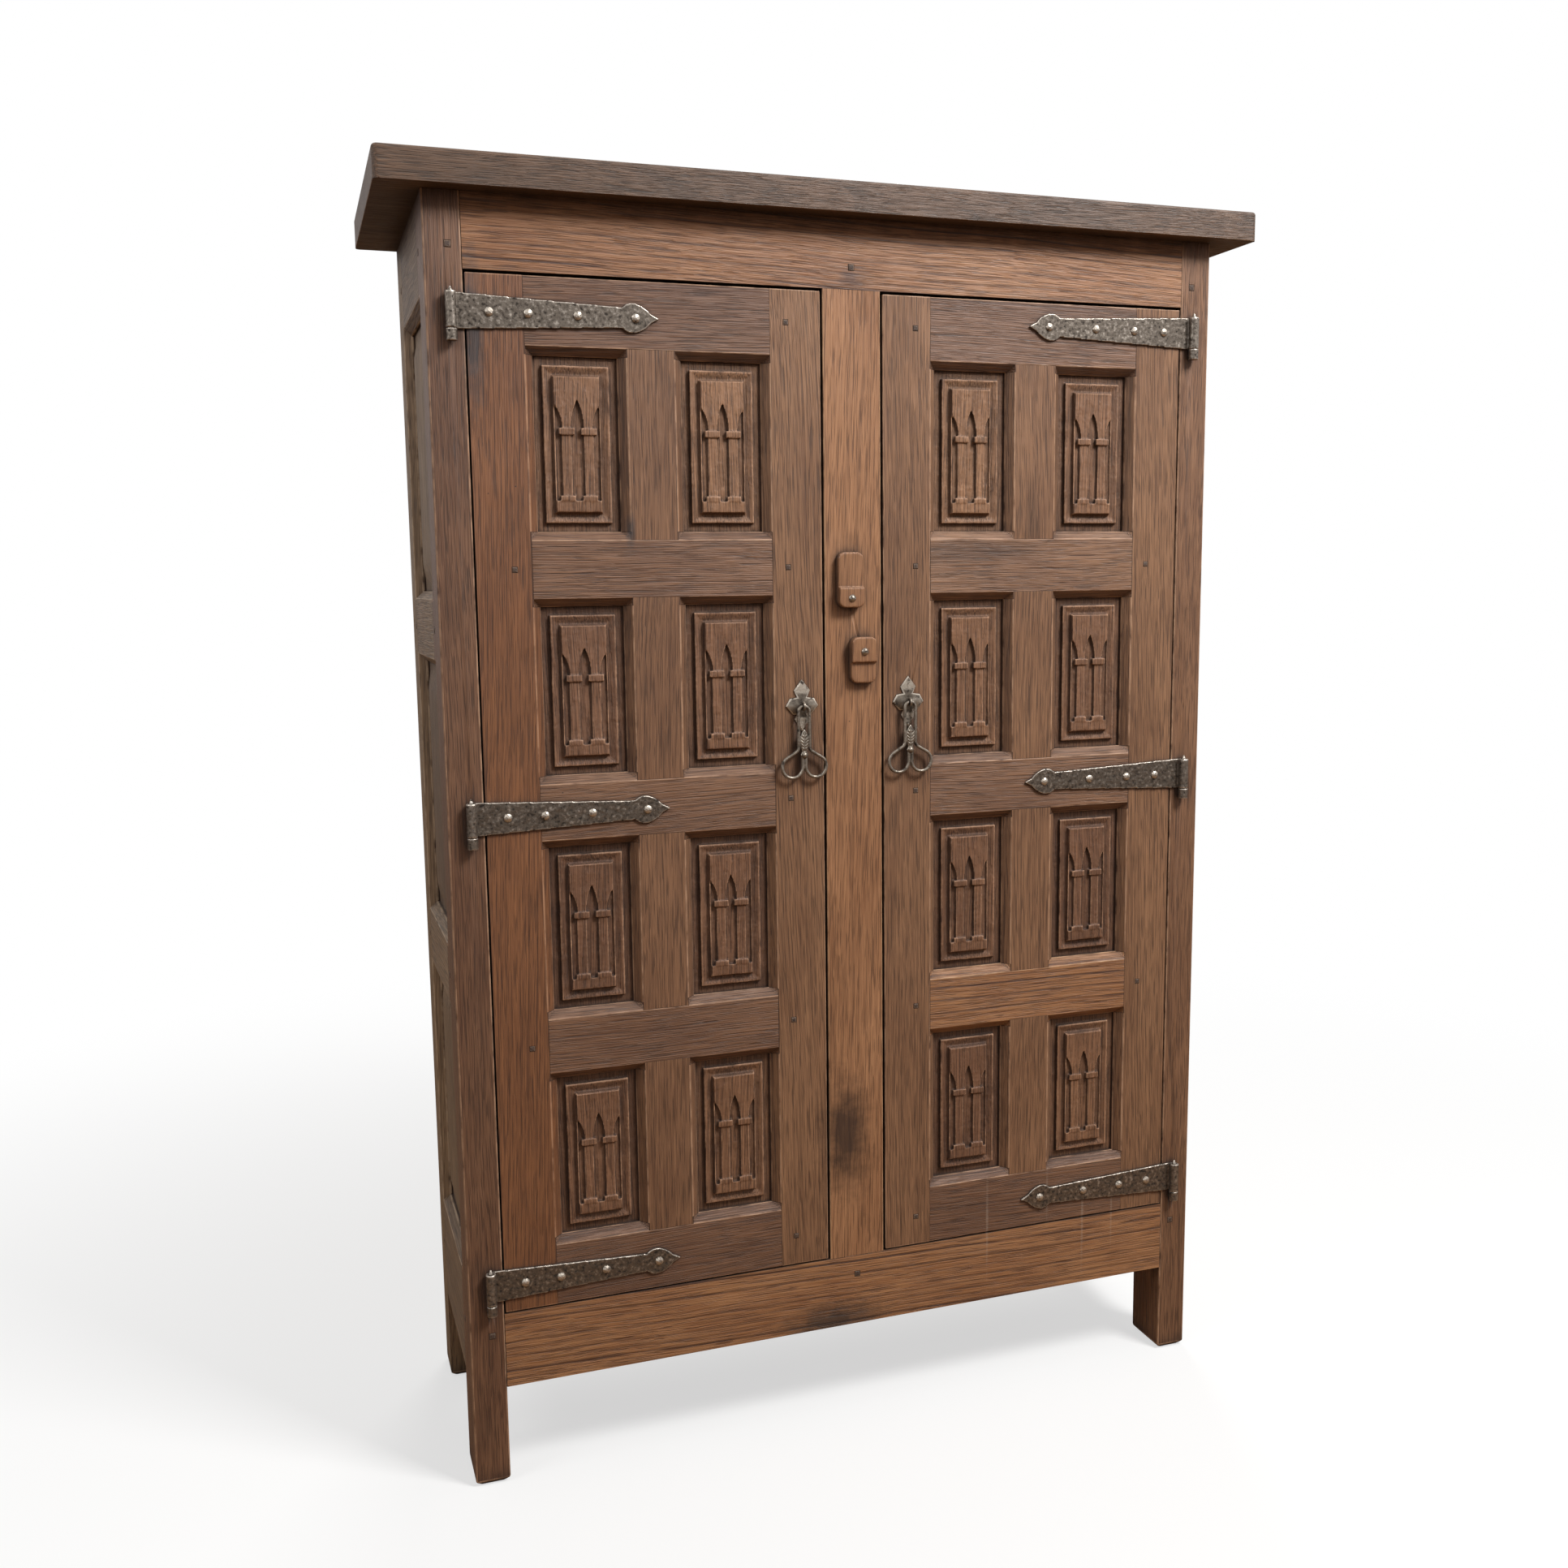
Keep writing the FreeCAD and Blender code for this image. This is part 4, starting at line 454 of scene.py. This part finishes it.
# Bare dry oak that has seen neither wax nor light
DRY = wood("dry_inside_oak", "#b4997c", "#8a6f52", "#5f4732", "#c4ad92",
           ring=4.4 * MM, line_share=0.6, roughness=0.68)
# Cherry polished by hands
BUTTON = wood("hand_polished_cherry", "#a67a57", "#7f563c", "#553624", "#c39a75",
              ring=2.4 * MM, line_share=0.4, roughness=0.40)
# End grain of oak pegs, black with wax
PEG = wood("waxed_peg_end", "#5a4336", "#33241b", "#1f150f", "#75604f",
           ring=1.8 * MM, line_share=0.8, roughness=0.55)


# Iron

def iron(name, base, pit_and_shade, burr_and_highlight, metallic, roughness, dent):
    """Forged iron: hammered hollows, dark scale in the pits with painted shade in the corners, and bare metal
    with a painted highlight on the burrs and edges.

    The dent is the size of a hammer mark.
    """
    material, tree, shader = new_material(name)
    place = add(tree, "TexCoord")["Object"]
    marks = add(tree, "TexNoise",
                {"Vector": place, "Scale": 1 / dent, "Detail": 4.0, "Roughness": 0.62})["Fac"]
    fine = add(tree, "TexNoise", {"Vector": place, "Scale": 3.4 / dent, "Detail": 2.0})["Fac"]
    bend = add(tree, "NewGeometry")["Pointiness"]
    # Burrs and chamfered edges take the burr colour: rubbed bare metal and a painted highlight
    raised = add(tree, "MapRange", {"Value": bend, "From Min": 0.505, "From Max": 0.555})["Result"]
    pitted_and_shaded = add(tree, "MapRange", {"Value": marks, "From Min": 0.48, "From Max": 0.34})["Result"]
    bright = add(tree, "MapRange", {"Value": marks, "From Min": 0.55, "From Max": 0.68})["Result"]
    bright = add(tree, "Math", {0: bright, 1: fine}, operation="MULTIPLY")[0]
    bright = add(tree, "Math", {0: bright, 1: raised}, operation="MAXIMUM")[0]
    arris = add(tree, "Attribute", attribute_name="arris")["Fac"]
    bright = add(tree, "Math", {0: bright, 1: arris}, operation="MAXIMUM")[0]
    # Ambient occlusion darkens corners and the gaps between parts: painted shade, joined to the dark scale of
    # the pits
    occlusion_shade = add(tree, "AmbientOcclusion", {"Distance": IRON_CORNER_REACH}, samples=6)["AO"]
    occlusion_shade = add(tree, "MapRange", {"Value": occlusion_shade, "From Min": 0.86, "From Max": 0.40})["Result"]
    pitted_and_shaded = add(tree, "Math", {0: pitted_and_shaded, 1: occlusion_shade}, operation="MAXIMUM")[0]
    color = add(tree, "Mix", {0: bright, 6: tone(base), 7: tone(burr_and_highlight)}, data_type="RGBA")[2]
    color = add(tree, "Mix", {0: pitted_and_shaded, 6: color, 7: tone(pit_and_shade)}, data_type="RGBA")[2]
    tree.links.new(color, shader.inputs["Base Color"])
    shader.inputs["Metallic"].default_value = metallic
    gloss = add(tree, "MapRange", {"Value": pitted_and_shaded, "To Min": roughness, "To Max": roughness + 0.3})["Result"]
    tree.links.new(gloss, shader.inputs["Roughness"])
    height = add(tree, "Math", {0: fine, 1: 0.5, 2: marks}, operation="MULTIPLY_ADD")[0]
    bump = add(tree, "Bump", {"Height": height, "Strength": 0.5, "Distance": dent * 0.12})[0]
    tree.links.new(bump, shader.inputs["Normal"])
    return material


# Hammered wrought iron, waxed black and rubbed
HINGE_IRON = iron("hammered_wrought_iron", "#645b52", "#2b2520", "#bbb1a6",
                  metallic=0.75, roughness=0.36, dent=4.5 * MM)
# Smooth forged iron
PULL_IRON = iron("forged_iron", "#675e54", "#332c26", "#b3a99c",
                 metallic=0.7, roughness=0.36, dent=9.0 * MM)
# Burnished rivet heads and screws
BRIGHT_IRON = iron("burnished_iron", "#877d72", "#423a33", "#b4aa9e",
                   metallic=0.85, roughness=0.32, dent=4.0 * MM)
# Plain dark nails
NAIL_IRON = iron("blackened_nail_iron", "#443c36", "#1d1916", "#7d746a",
                 metallic=0.85, roughness=0.5, dent=3.0 * MM)


# Tools for making pieces

def select_only(*pieces):
    bpy.ops.object.select_all(action="DESELECT")
    for piece in pieces:
        piece.select_set(True)
    bpy.context.view_layer.objects.active = pieces[0]


def select_faces(piece, wanted):
    """Selects just the wanted faces of a piece, for the next step in edit mode."""
    select_only(piece)
    bpy.ops.object.mode_set(mode="EDIT")
    bpy.ops.mesh.select_mode(type="FACE")
    bpy.ops.mesh.select_all(action="DESELECT")
    bpy.ops.object.mode_set(mode="OBJECT")
    for face in piece.data.polygons:
        face.select = wanted(face)


def copy_of(node):
    """A copy of a CAD node with its doubled corners merged and its flat faces made whole."""
    piece = bpy.data.objects.new(node + "_copy", nodes[node].data.copy())
    scene.collection.objects.link(piece)
    piece.data.materials.clear()
    select_only(piece)
    bpy.ops.object.mode_set(mode="EDIT")
    bpy.ops.mesh.select_all(action="SELECT")
    bpy.ops.mesh.remove_doubles(threshold=MERGE_REACH)
    bpy.ops.mesh.dissolve_limited(angle_limit=FLAT_ANGLE)
    bpy.ops.mesh.quads_convert_to_tris(ngon_method="BEAUTY")
    bpy.ops.object.mode_set(mode="OBJECT")
    return piece


def twin_of(piece):
    twin = piece.copy()
    twin.data = piece.data.copy()
    scene.collection.objects.link(twin)
    return twin


def box_of(piece):
    corners = [v.co for v in piece.data.vertices]
    low = Vector([min(c[i] for c in corners) for i in range(3)])
    high = Vector([max(c[i] for c in corners) for i in range(3)])
    return low, high


def solids_of(piece):
    """Splits a piece into its separate solids, in order of place."""
    select_only(piece)
    bpy.ops.object.mode_set(mode="EDIT")
    bpy.ops.mesh.select_all(action="SELECT")
    bpy.ops.mesh.separate(type="LOOSE")
    bpy.ops.object.mode_set(mode="OBJECT")
    found = list(bpy.context.selected_objects)
    return sorted(found, key=lambda part: [round(v, 4) for v in box_of(part)[0]])


def boards_of(sheet, count):
    """Cuts a sheet of boards of one width, which share the corners where they touch, into its boards."""
    low, high = box_of(sheet)
    width = (high.x - low.x) / count
    boards = []
    for i in range(count):
        board = twin_of(sheet)
        select_only(board)
        bpy.ops.object.mode_set(mode="EDIT")
        if i > 0:
            bpy.ops.mesh.select_all(action="SELECT")
            bpy.ops.mesh.bisect(plane_co=(low.x + width * i + SEAM_GAP, 0, 0), plane_no=(1, 0, 0),
                                clear_inner=True, use_fill=True)
        if i < count - 1:
            bpy.ops.mesh.select_all(action="SELECT")
            bpy.ops.mesh.bisect(plane_co=(low.x + width * (i + 1) - SEAM_GAP, 0, 0), plane_no=(1, 0, 0),
                                clear_outer=True, use_fill=True)
        bpy.ops.object.mode_set(mode="OBJECT")
        boards.append(board)
    bpy.data.objects.remove(sheet)
    return boards


def joined(parts):
    select_only(*parts)
    if len(parts) > 1:
        bpy.ops.object.join()
    return bpy.context.view_layer.objects.active


def apply_modifier(piece, kind, **settings):
    """Adds a modifier with its settings and applies it."""
    select_only(piece)
    modifier = piece.modifiers.new(kind.lower(), kind)
    for name, value in settings.items():
        setattr(modifier, name, value)
    bpy.ops.object.modifier_apply(modifier=modifier.name)


def bevel_edges(piece, share_of, width, segments):
    """Bevels each edge by its own share of the width, and leaves the new faces in material slot 1."""
    mesh = bmesh.new()
    mesh.from_mesh(piece.data)
    weight = mesh.edges.layers.float.new("bevel_weight_edge")
    for edge in mesh.edges:
        edge[weight] = share_of(edge)
    mesh.to_mesh(piece.data)
    mesh.free()
    piece.data.materials.append(None)
    piece.data.materials.append(None)
    for face in piece.data.polygons:
        face.material_index = 0
    apply_modifier(piece, "BEVEL", width=width, segments=segments, limit_method="WEIGHT",
                   use_clamp_overlap=False, material=1)


def soften(piece, voxel, passes=1):
    """Makes one skin of fine faces, and rounds its corners by passes of smoothing."""
    apply_modifier(piece, "REMESH", mode="VOXEL", voxel_size=voxel)
    apply_modifier(piece, "SMOOTH", factor=0.5, iterations=passes)


def noise_texture(name, size):
    texture = bpy.data.textures.new(name, "CLOUDS")
    texture.noise_scale = size
    return texture


def roughen(piece, texture, depth, level=0.5):
    """Moves the surface in and out by a texture, whose level stays in place."""
    apply_modifier(piece, "DISPLACE", texture=texture, texture_coords="LOCAL", strength=depth,
                   mid_level=level)


def mark_faces(piece, name, value_of):
    """Gives each face a value for the materials to read."""
    marks = piece.data.attributes.new(name, "FLOAT", "FACE")
    for face, mark in zip(piece.data.polygons, marks.data):
        mark.value = value_of(face)


def shade_smooth(piece, angle=None):
    """Shades a piece smooth, apart from edges sharper than the angle where one is given."""
    select_only(piece)
    if angle is None:
        bpy.ops.object.shade_smooth()
    else:
        bpy.ops.object.shade_smooth_by_angle(angle=angle)


def finish(piece, name, body, material, replaced):
    """Names a piece, gives it its finish, and lets it ride on its body in place of its CAD node."""
    piece.name = name
    piece.data.name = name
    piece.data.materials.clear()
    piece.data.materials.append(material)
    for face in piece.data.polygons:
        face.material_index = 0
    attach(piece, body)
    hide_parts(replaced)


# Where pieces touch

def surface_of(item):
    corners = [v.co.copy() for v in item.data.vertices]
    faces = [tuple(face.vertices) for face in item.data.polygons]
    return BVHTree.FromPolygons(corners, faces)


surfaces = {node_name: surface_of(item) for node_name, item in nodes.items()}


def neighbours_of(node):
    """The surfaces of the nodes whose boxes meet the node's box."""
    low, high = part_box(node)
    found = []
    for other in nodes:
        other_low, other_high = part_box(other)
        apart = any(other_low[i] > high[i] + TOUCH_REACH or other_high[i] < low[i] - TOUCH_REACH
                    for i in range(3))
        if other != node and not apart:
            found.append(surfaces[other])
    return found


def touches(place, others, reach):
    return any(surface.find_nearest(place, reach)[0] is not None for surface in others)


def middle_of(edge):
    return (edge.verts[0].co + edge.verts[1].co) / 2


# Timber

def wear_arrises(part, others, siblings, arris):
    """Rounds the outer arrises, and marks them 1 where free and -1 where they close a joint or seam."""
    low, high = box_of(part)

    def share_of(edge):
        turned = len(edge.link_faces) == 2 and edge.is_convex and edge.calc_face_angle() > SHARP_ANGLE
        if not turned or edge.calc_length() <= LEAST_ARRIS_LENGTH:
            return 0.0
        return JOINT_SHARE if touches(middle_of(edge), others, TOUCH_REACH) else 1.0

    def wear_of(face):
        if face.material_index == 0:
            return 0.0
        closed = touches(face.center, others, TOUCH_REACH + arris * JOINT_SHARE)
        closed = closed or touches(face.center, siblings, arris + SEAM_REACH)
        return -1.0 if closed else 1.0

    bevel_edges(part, share_of, arris, 2)
    # A bevel may overshoot at a corner, so the part is held in its box
    for corner in part.data.vertices:
        corner.co = [min(max(value, least), most) for value, least, most in zip(corner.co, low, high)]
    mark_faces(part, "arris", wear_of)


def mark_grain(part, seed, level=None, flat_share=FLAT_SAWN_SHARE):
    """Marks each corner with its place in the log the solid was sawn from: along, across and out of it.

    The level, from -1 to 1, is how pale the board is.
    """
    low, high = box_of(part)
    span = high - low
    order = sorted(range(3), key=lambda axis: -span[axis])
    chance = random.Random(seed)
    near = chance.uniform(LOG_NEAR, LOG_FAR) * chance.choice((-1, 1))
    off = chance.uniform(-LOG_OFFSET, LOG_OFFSET)
    across, out = (off, near) if chance.random() < flat_share else (near, off)
    start = chance.uniform(0, LOG_LENGTH)
    lean = chance.uniform(-LOG_LEAN, LOG_LEAN)
    by_chance = chance.uniform(-1, 1)
    middle = (low + high) / 2
    grain = part.data.attributes.new("grain", "FLOAT_VECTOR", "POINT")
    for corner, mark in zip(part.data.vertices, grain.data):
        place = corner.co - middle
        run = place[order[0]]
        mark.vector = (run + start, place[order[1]] + across + run * lean, place[order[2]] + out)
    own_tone = part.data.attributes.new("tone", "FLOAT", "POINT")
    for mark in own_tone.data:
        mark.value = by_chance if level is None else level


def timber(node, body, material, arris, boards=1):
    """Makes the worn wooden piece, of one solid or several, that stands for a CAD node."""
    others = neighbours_of(node)
    whole = copy_of(node)
    parts = solids_of(whole) if boards == 1 else boards_of(whole, boards)
    own_surfaces = [surface_of(part) for part in parts]
    # A golden board shows long straight lines, so it is never flat-sawn
    flat_share = 0 if material is GOLDEN else FLAT_SAWN_SHARE
    for number, part in enumerate(parts):
        siblings = own_surfaces[:number] + own_surfaces[number + 1:]
        wear_arrises(part, others, siblings, arris)
        mark_grain(part, f"{node} {number}", PALENESS.get(node), flat_share)
    piece = joined(parts)
    shade_smooth(piece, TIMBER_SMOOTH_ANGLE)
    apply_modifier(piece, "WEIGHTED_NORMAL", keep_sharp=True)
    finish(piece, node + "_worn", body, material, node)


# The carcass

# Boards of the front that aren't of the brown oak
OWN_OAK = {"front_top_rail": GOLDEN, "front_bottom_rail": GOLDEN, "right_door_lower_rail": GOLDEN,
           "centre_mullion": MELLOW, "left_door_hinge_stile": RED}
# How pale a board is, from -1 to 1. Chance decides where none is given
PALENESS = {
    "front_left_post": -0.9, "front_right_post": 0.1, "front_top_rail": -0.3, "front_bottom_rail": 0.3,
    "centre_mullion": 0.3, "left_door_hinge_stile": 0.0, "left_door_lock_stile": 0.8,
    "left_door_top_rail": -1.0, "left_door_upper_rail": -0.5, "left_door_middle_rail": -0.1,
    "left_door_lower_rail": -0.4, "left_door_bottom_rail": -0.8, "left_door_muntins": 0.2,
    "right_door_lock_stile": 0.6, "right_door_hinge_stile": 0.8, "right_door_top_rail": -0.9,
    "right_door_upper_rail": 0.4, "right_door_middle_rail": -0.1, "right_door_lower_rail": 0.1,
    "right_door_bottom_rail": -0.7, "right_door_muntins": 0.6, "top_board": 0.0,
}
# The same of the carved panels, in columns from the left and each column from its foot up
PANEL_PALENESS = {"left": (-0.5, -0.9, -0.7, 0.4, 0.1, -0.6, -0.2, 0.9),
                  "right": (-1.0, -0.4, 0.3, 1.0, 0.1, -0.9, -0.3, 0.3)}


def build_carcass():
    timber("top_board", "root", DARK, BOARD_ARRIS)
    for name in ("front_left_post", "front_right_post"):
        timber(name, "root", BROWN, POST_ARRIS)
    for name in ("front_top_rail", "front_bottom_rail", "centre_mullion"):
        timber(name, "root", OWN_OAK[name], RAIL_ARRIS)
    for name in ("rear_left_post", "rear_right_post", "rear_top_rail", "rear_bottom_rail"):
        timber(name, "root", GREY, POST_ARRIS)
    for word in ("left", "right"):
        for part in ("side_top_rail", "side_upper_rail", "side_lower_rail", "side_bottom_rail",
                     "side_panels"):
            timber(f"{word}_{part}", "root", GREY, RAIL_ARRIS)
    timber("back_boards", "root", DRY, BOARD_ARRIS, boards=BACK_BOARD_COUNT)
    for name in ("floor_board", "lower_shelf", "upper_shelf", "shelf_cleats"):
        timber(name, "root", DRY, BOARD_ARRIS)
    timber("frame_pegs", "root", PEG, PEG_ARRIS)


# The doors

def build_doors():
    for word in ("left", "right"):
        body = f"{word}_door"
        for part in ("hinge_stile", "lock_stile", "top_rail", "upper_rail", "middle_rail", "lower_rail",
                     "bottom_rail", "muntins"):
            name = f"{body}_{part}"
            timber(name, body, OWN_OAK.get(name, BROWN), RAIL_ARRIS)
        timber(f"{body}_pegs", body, PEG, PEG_ARRIS)


def shape_moulding(model, front, middle):
    """Sinks a quirk round the field, and raises a narrow ridge at the edge of the tablet."""
    select_faces(model, lambda face: BEVEL_NORMALS[0] < face.normal.y < BEVEL_NORMALS[1])
    bpy.ops.object.mode_set(mode="EDIT")
    bpy.ops.mesh.inset(thickness=BEVEL_INSET)
    bpy.ops.object.mode_set(mode="OBJECT")
    for corner in model.data.vertices:
        across, up = corner.co.x - middle.x, corner.co.z - middle.z
        beside, over = abs(across) - FIELD_SIDE, abs(up) - FIELD_TOP
        out = max(beside, over)
        for ring, place, depth in MOULDING:
            if abs(out - ring) < RING_REACH and corner.co.y - front < TABLET_FOOT:
                corner.co.y = front + depth
                if abs(beside - out) < RING_REACH:
                    corner.co.x = middle.x + math.copysign(FIELD_SIDE + place, across)
                if abs(over - out) < RING_REACH:
                    corner.co.z = middle.z + math.copysign(FIELD_TOP + place, up)
                break


def carve(model):
    """Cuts the moulding, and lets the capitals, bases, plinth and spandrel stand out before the shafts."""
    low, high = box_of(model)
    shape_moulding(model, low.y, (low + high) / 2)
    middle = (low.z + high.z) / 2
    select_only(model)
    bpy.ops.object.mode_set(mode="EDIT")
    for level in (PLINTH_TOP, BASE_TOP, CAPITAL_FOOT, SPRING):
        bpy.ops.mesh.select_all(action="SELECT")
        bpy.ops.mesh.bisect(plane_co=(0, 0, middle + level), plane_no=(0, 0, 1))
    bpy.ops.object.mode_set(mode="OBJECT")
    for foot, top, proud in BANDS:
        select_faces(model, lambda face: abs(face.center.y - low.y) < FLUSH_REACH
                     and foot < face.center.z - middle < top)
        bpy.ops.object.mode_set(mode="EDIT")
        bpy.ops.mesh.extrude_region_move(TRANSFORM_OT_translate={"value": (0, -proud, 0)})
        bpy.ops.object.mode_set(mode="OBJECT")


def flatten_back(part, limit):
    """Puts one flat face in place of the fine faces behind a Y."""
    select_faces(part, lambda face: face.center.y > limit)
    bpy.ops.object.mode_set(mode="EDIT")
    bpy.ops.mesh.delete(type="FACE")
    bpy.ops.mesh.select_mode(type="VERT")
    bpy.ops.mesh.select_non_manifold()
    bpy.ops.mesh.edge_face_add()
    bpy.ops.object.mode_set(mode="OBJECT")


def carved_model(part):
    """A carved copy of a panel, rounded as by a gouge, with the low corner of the panel's box."""
    low, high = box_of(part)
    model = twin_of(part)
    carve(model)
    soften(model, CARVING_VOXEL)
    flatten_back(model, high.y - CARVING_VOXEL * 1.5)
    return model, low


def build_panels():
    """One panel is carved, and each copy of it gets its own small unevenness."""
    gouge = noise_texture("gouge_marks", GOUGE_SIZE)
    chips = noise_texture("chips", CHIP_SIZE)
    model = None
    for word in ("left", "right"):
        node = f"{word}_door_panels"
        for number, part in enumerate(solids_of(copy_of(node))):
            if model is None:
                model, model_low = carved_model(part)
            shift = Matrix.Translation(box_of(part)[0] - model_low)
            part.data = model.data.copy()
            part.data.transform(shift)
            roughen(part, gouge, GOUGE_DEPTH)
            roughen(part, chips, CHIP_DEPTH)
            mark_grain(part, f"{node} {number}", PANEL_PALENESS[word][number])
            # The flat back is one face with many corners, and isn't carved
            mark_faces(part, "carving", lambda face: len(face.vertices) <= 4)
            shade_smooth(part, CARVING_SMOOTH_ANGLE)
            finish(part, f"{word}_carved_panel_{number + 1}", f"{word}_door", CARVED, node)
    bpy.data.objects.remove(model)


def build_buttons():
    """The turn buttons, worn round by fingers."""
    for name in ("upper_turn_button", "lower_turn_button"):
        piece = copy_of(name)
        soften(piece, BUTTON_VOXEL, BUTTON_PASSES)
        mark_grain(piece, name)
        shade_smooth(piece)
        finish(piece, name + "_worn", name, BUTTON, name)


# The ironwork

def build_straps():
    """Hinge straps, hammered all over, and pintles with rough scale."""
    dents = noise_texture("hammer_marks", HAMMER_SIZE)
    scale = noise_texture("iron_scale", SCALE_SIZE)
    for node, body, voxel in (("left_door_hinge_straps", "left_door", STRAP_VOXEL),
                              ("right_door_hinge_straps", "right_door", STRAP_VOXEL),
                              ("hinge_pintles", "root", PINTLE_VOXEL)):
        parts = solids_of(copy_of(node))
        for part in parts:
            soften(part, voxel)
            if body != "root":
                roughen(part, dents, HAMMER_DEPTH, HAMMER_LEVEL)
            roughen(part, scale, SCALE_DEPTH, HAMMER_LEVEL)
        piece = joined(parts)
        shade_smooth(piece)
        finish(piece, node + "_hammered", body, HINGE_IRON, node)


def rivet_model():
    """A rivet at the origin, its head beaten into small facets and its shank running back."""
    bpy.ops.object.select_all(action="DESELECT")
    bpy.ops.mesh.primitive_ico_sphere_add(subdivisions=2, radius=RIVET_HEAD_RADIUS, location=(0, 0, 0))
    model = bpy.context.object
    model.scale = (1, 1, RIVET_HEAD_HEIGHT / RIVET_HEAD_RADIUS)
    bpy.ops.object.transform_apply(location=False, rotation=False, scale=True)
    bpy.ops.object.mode_set(mode="EDIT")
    bpy.ops.mesh.select_all(action="SELECT")
    bpy.ops.mesh.bisect(plane_co=(0, 0, 0), plane_no=(0, 0, 1), clear_inner=True, use_fill=True)
    bpy.ops.object.mode_set(mode="OBJECT")
    select_faces(model, lambda face: face.normal.z < UNDERSIDE_NORMAL)
    bpy.ops.object.mode_set(mode="EDIT")
    bpy.ops.mesh.inset(thickness=RIVET_HEAD_RADIUS - RIVET_SHANK_RADIUS)
    bpy.ops.mesh.extrude_region_move(TRANSFORM_OT_translate={"value": (0, 0, -RIVET_SHANK_LENGTH)})
    bpy.ops.object.mode_set(mode="OBJECT")
    model.rotation_euler = (math.pi / 2, 0, 0)
    bpy.ops.object.transform_apply(location=False, rotation=True, scale=False)
    return model


def build_rivets():
    """One rivet is modelled and copied to each place, each copy turned by chance."""
    model = rivet_model()
    for word in ("left", "right"):
        node = f"{word}_door_rivets"
        parts = solids_of(copy_of(node))
        for number, part in enumerate(parts):
            low, high = box_of(part)
            seat = Vector(((low.x + high.x) / 2, high.y - RIVET_SHANK_LENGTH, (low.z + high.z) / 2))
            spin = Matrix.Rotation(random.Random(f"{node} {number}").uniform(0, math.tau), 4, "Y")
            part.data = model.data.copy()
            part.data.transform(Matrix.Translation(seat) @ spin)
        piece = joined(parts)
        bpy.ops.object.shade_flat()
        finish(piece, node + "_beaten", f"{word}_door", BRIGHT_IRON, node)
    bpy.data.objects.remove(model)


def raised_form(x, below, reach, thickness, lean=0.0):
    """A vein or bud on the handle's front, some way below its axis and leaning from upright."""
    bpy.ops.object.select_all(action="DESELECT")
    bpy.ops.mesh.primitive_uv_sphere_add(segments=12, ring_count=8, radius=1, location=(0, 0, 0))
    form = bpy.context.object
    form.scale = (thickness, thickness, reach)
    form.rotation_euler = (0, lean, 0)
    form.location = (x, PULL_AXIS_Y - LEAF_FRONT, PULL_AXIS_Z - below)
    bpy.ops.object.transform_apply()
    return form


def build_pull(name, middle, dents):
    """A forged drop handle with a veined leaf and a bud."""
    parts = [copy_of(name), raised_form(middle, *LEAF_MIDRIB), raised_form(middle, *BUD)]
    for below, reach, away in SIDE_VEINS:
        for side in (-1, 1):
            x = middle + away * side
            parts.append(raised_form(x, below, reach, SIDE_VEIN_WIDTH, SIDE_VEIN_LEAN * side))
    piece = joined(parts)
    soften(piece, PULL_VOXEL)
    apply_modifier(piece, "DISPLACE", strength=PULL_GROWTH, mid_level=0)
    roughen(piece, dents, PULL_DENT_DEPTH)
    shade_smooth(piece)
    finish(piece, name + "_forged", name, PULL_IRON, name)


def build_plate(node, middle, body):
    """The plate behind a handle, chamfered round its front but not round its staple."""

    def share_of(edge):
        on_front = all(abs(v.co.y - PLATE_FRONT) < FLUSH_REACH for v in edge.verts)
        centre = middle_of(edge)
        away = math.hypot(centre.x - middle, centre.z - PULL_AXIS_Z)
        return float(on_front and away > STAPLE_REACH and edge.calc_face_angle(0) > SHARP_ANGLE)

    plate = copy_of(node)
    bevel_edges(plate, share_of, PLATE_CHAMFER, 1)
    # The chamfer takes the iron's burr colour: rubbed metal and a painted highlight
    mark_faces(plate, "arris", lambda face: face.material_index)
    shade_smooth(plate, PLATE_SMOOTH_ANGLE)
    finish(plate, node + "_chamfered", body, PULL_IRON, node)


def build_handles():
    dents = noise_texture("handle_dents", PULL_DENT_SIZE)
    for word in ("left", "right"):
        low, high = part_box(f"{word}_pull")
        middle = (low.x + high.x) / 2
        build_pull(f"{word}_pull", middle, dents)
        build_plate(f"{word}_pull_plate", middle, f"{word}_door")


def keep_node(node, material):
    """A CAD node whose shape is right stays, and gets its finish."""
    for place in nodes[node].material_slots:
        place.material = material


make_camera()
make_floor()
make_room()
make_lamps()
build_carcass()
build_doors()
build_panels()
build_buttons()
build_straps()
build_rivets()
build_handles()
keep_node("turn_button_screws", BRIGHT_IRON)
keep_node("back_board_nails", NAIL_IRON)
scene.view_settings.view_transform = "Standard"
